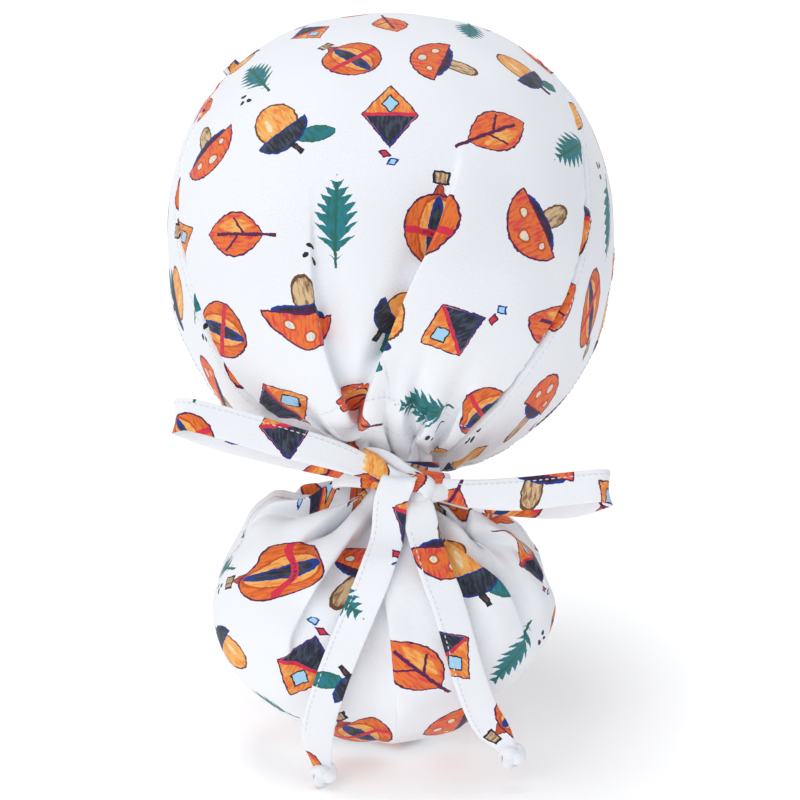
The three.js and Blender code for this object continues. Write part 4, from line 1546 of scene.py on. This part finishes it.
def make_end_knot(name, place, wall):
    """A small overhand knot at a tail's end, whose two ends lie inside it."""
    t = np.linspace(0.15, 2 * np.pi - 0.15, 73)
    line = np.stack(
        [np.sin(t) + 1.9 * np.sin(2 * t), -1.3 * np.sin(3 * t), np.cos(t) - 1.9 * np.cos(2 * t)],
        -1,
    )
    line = line * END_KNOT_SIZE + place
    widthway = unit(np.cross(np.gradient(line, axis=0), np.array([0.2, -1.0, 0.1])))
    points, charts, _ = strip_grid(
        line, widthway, END_KNOT_STRIP, 2.4 * wall, 36, END_KNOT_CREASE, around=14
    )
    return add_tie(f"end_knot_{name}", points, charts)


class SCRUBCAP_OT_seams(bpy.types.Operator):
    """Make the rows of stitches along the seams, the casing and the hem"""

    bl_idname = "scrubcap.seams"
    bl_label = "Seam stitches"

    def execute(self, context):
        places = np.linspace(-BAND_STITCHED, BAND_STITCHED, 900)
        inset = SEAM_INSET / band_width(places)
        keep = inset < 0.5
        seam = surface_run(band_surface, places[keep], inset[keep])
        hem = surface_run(band_surface, places[keep], 1 - 2 * inset[keep])
        add_stitches("band_stitches", [seam, hem])
        across = np.linspace(-CASING_STITCHED, CASING_STITCHED, 400)
        runs = []
        for table in (CASING, LOWER_CASING):
            along = np.empty_like(across)
            # Each place across is searched for how far up the panel the casing's distance is.
            ladder = np.linspace(0.02, 0.6, 400)
            for i, place in enumerate(across):
                points = panel_form(np.full_like(ladder, place), ladder)
                away = np.linalg.norm(points - NECK_CENTRE, axis=-1)
                distance = casing_distance(table, place) - CASING_INSET
                along[i] = np.interp(distance, np.maximum.accumulate(away), ladder)
            runs.append(surface_run(panel_surface, across, along))
        add_stitches("casing_stitches", runs)
        return {"FINISHED"}


# A wide soft box overhead, which leaves the shadow beside the pouch, and a soft light from the
# upper left in front: the way each shines, the angle it fills in degrees, and its power
Lamp = namedtuple("Lamp", "name aim angle power")
LAMPS = [
    Lamp("overhead", (0.14, -0.22, -1), 25, 1.0),
    Lamp("front", (0.5, 0.8, -0.5), 50, 0.9),
]


class SCRUBCAP_OT_stage(bpy.types.Operator):
    """Make the floor, the lights and the camera"""

    bl_idname = "scrubcap.stage"
    bl_label = "Stage"

    def execute(self, context):
        scene = context.scene
        bm = bmesh.new()
        bmesh.ops.create_grid(bm, x_segments=2, y_segments=2, size=FLOOR_HALF)
        bmesh.ops.translate(bm, verts=bm.verts, vec=(0, FLOOR_HALF / 2, FLOOR_HEIGHT))
        mesh = bpy.data.meshes.new("floor")
        bm.to_mesh(mesh)
        bm.free()
        floor = bpy.data.objects.new("floor", mesh)
        scene.collection.objects.link(floor)
        material, _, shader = new_material("matt_white_paper")
        shader.inputs["Base Color"].default_value = tuple(scene.scrub_cap_colours.floor)
        shader.inputs["Roughness"].default_value = 1.0
        shader.inputs["Specular IOR Level"].default_value = 0.0
        shader.inputs["Emission Color"].default_value = (1, 1, 1, 1)
        shader.inputs["Emission Strength"].default_value = FLOOR_GLOW
        mesh.materials.append(material)
        world = bpy.data.worlds.new("studio")
        world.use_nodes = True
        world.node_tree.nodes["Background"].inputs[0].default_value = linear("#F9FBFF")
        world.node_tree.nodes["Background"].inputs[1].default_value = WORLD_POWER
        scene.world = world
        for lamp in LAMPS:
            light = bpy.data.lights.new(lamp.name, "SUN")
            light.angle = np.radians(lamp.angle)
            light.energy = lamp.power
            holder = bpy.data.objects.new(lamp.name, light)
            holder.rotation_euler = Vector(lamp.aim).to_track_quat("-Z", "Y").to_euler()
            scene.collection.objects.link(holder)
        camera = bpy.data.objects.new("camera", bpy.data.cameras.new("camera"))
        camera.data.lens = CAMERA_LENS
        camera.data.sensor_width = 36
        camera.data.clip_end = 20
        tilt = np.radians(CAMERA_TILT)
        ahead = Vector((0, np.cos(tilt), -np.sin(tilt)))
        up = Vector((0, np.sin(tilt), np.cos(tilt)))
        camera.location = Vector((CAMERA_RIGHT, 0, 0)) - up * CAMERA_DOWN - ahead * CAMERA_DISTANCE
        camera.rotation_euler = ahead.to_track_quat("-Z", "Y").to_euler()
        scene.collection.objects.link(camera)
        scene.camera = camera
        scene.view_settings.view_transform = "Standard"
        return {"FINISHED"}


class SCRUBCAP_PT_panel(bpy.types.Panel):
    """The cap's pieces, sizes and colours"""

    bl_label = "Scrub cap"
    bl_idname = "SCRUBCAP_PT_panel"
    bl_space_type = "VIEW_3D"
    bl_region_type = "UI"
    bl_category = "Scrub Cap"

    def draw(self, context):
        for group in (context.scene.scrub_cap_sizes, context.scene.scrub_cap_colours):
            for name in type(group).__annotations__:
                self.layout.prop(group, name)
        for operator in OPERATORS:
            self.layout.operator(operator.bl_idname)


OPERATORS = [
    SCRUBCAP_OT_crown,
    SCRUBCAP_OT_band,
    SCRUBCAP_OT_pouch,
    SCRUBCAP_OT_bow,
    SCRUBCAP_OT_seams,
    SCRUBCAP_OT_stage,
]
CLASSES = [ScrubCapSizes, ScrubCapColours, *OPERATORS, SCRUBCAP_PT_panel]


def register():
    for cls in CLASSES:
        bpy.utils.register_class(cls)
    bpy.types.Scene.scrub_cap_sizes = bpy.props.PointerProperty(type=ScrubCapSizes)
    bpy.types.Scene.scrub_cap_colours = bpy.props.PointerProperty(type=ScrubCapColours)


def unregister():
    del bpy.types.Scene.scrub_cap_colours
    del bpy.types.Scene.scrub_cap_sizes
    for cls in reversed(CLASSES):
        bpy.utils.unregister_class(cls)


def main():
    register()
    for operator in OPERATORS:
        group, name = operator.bl_idname.split(".")
        getattr(getattr(bpy.ops, group), name)()


if __name__ == "__main__":
    main()
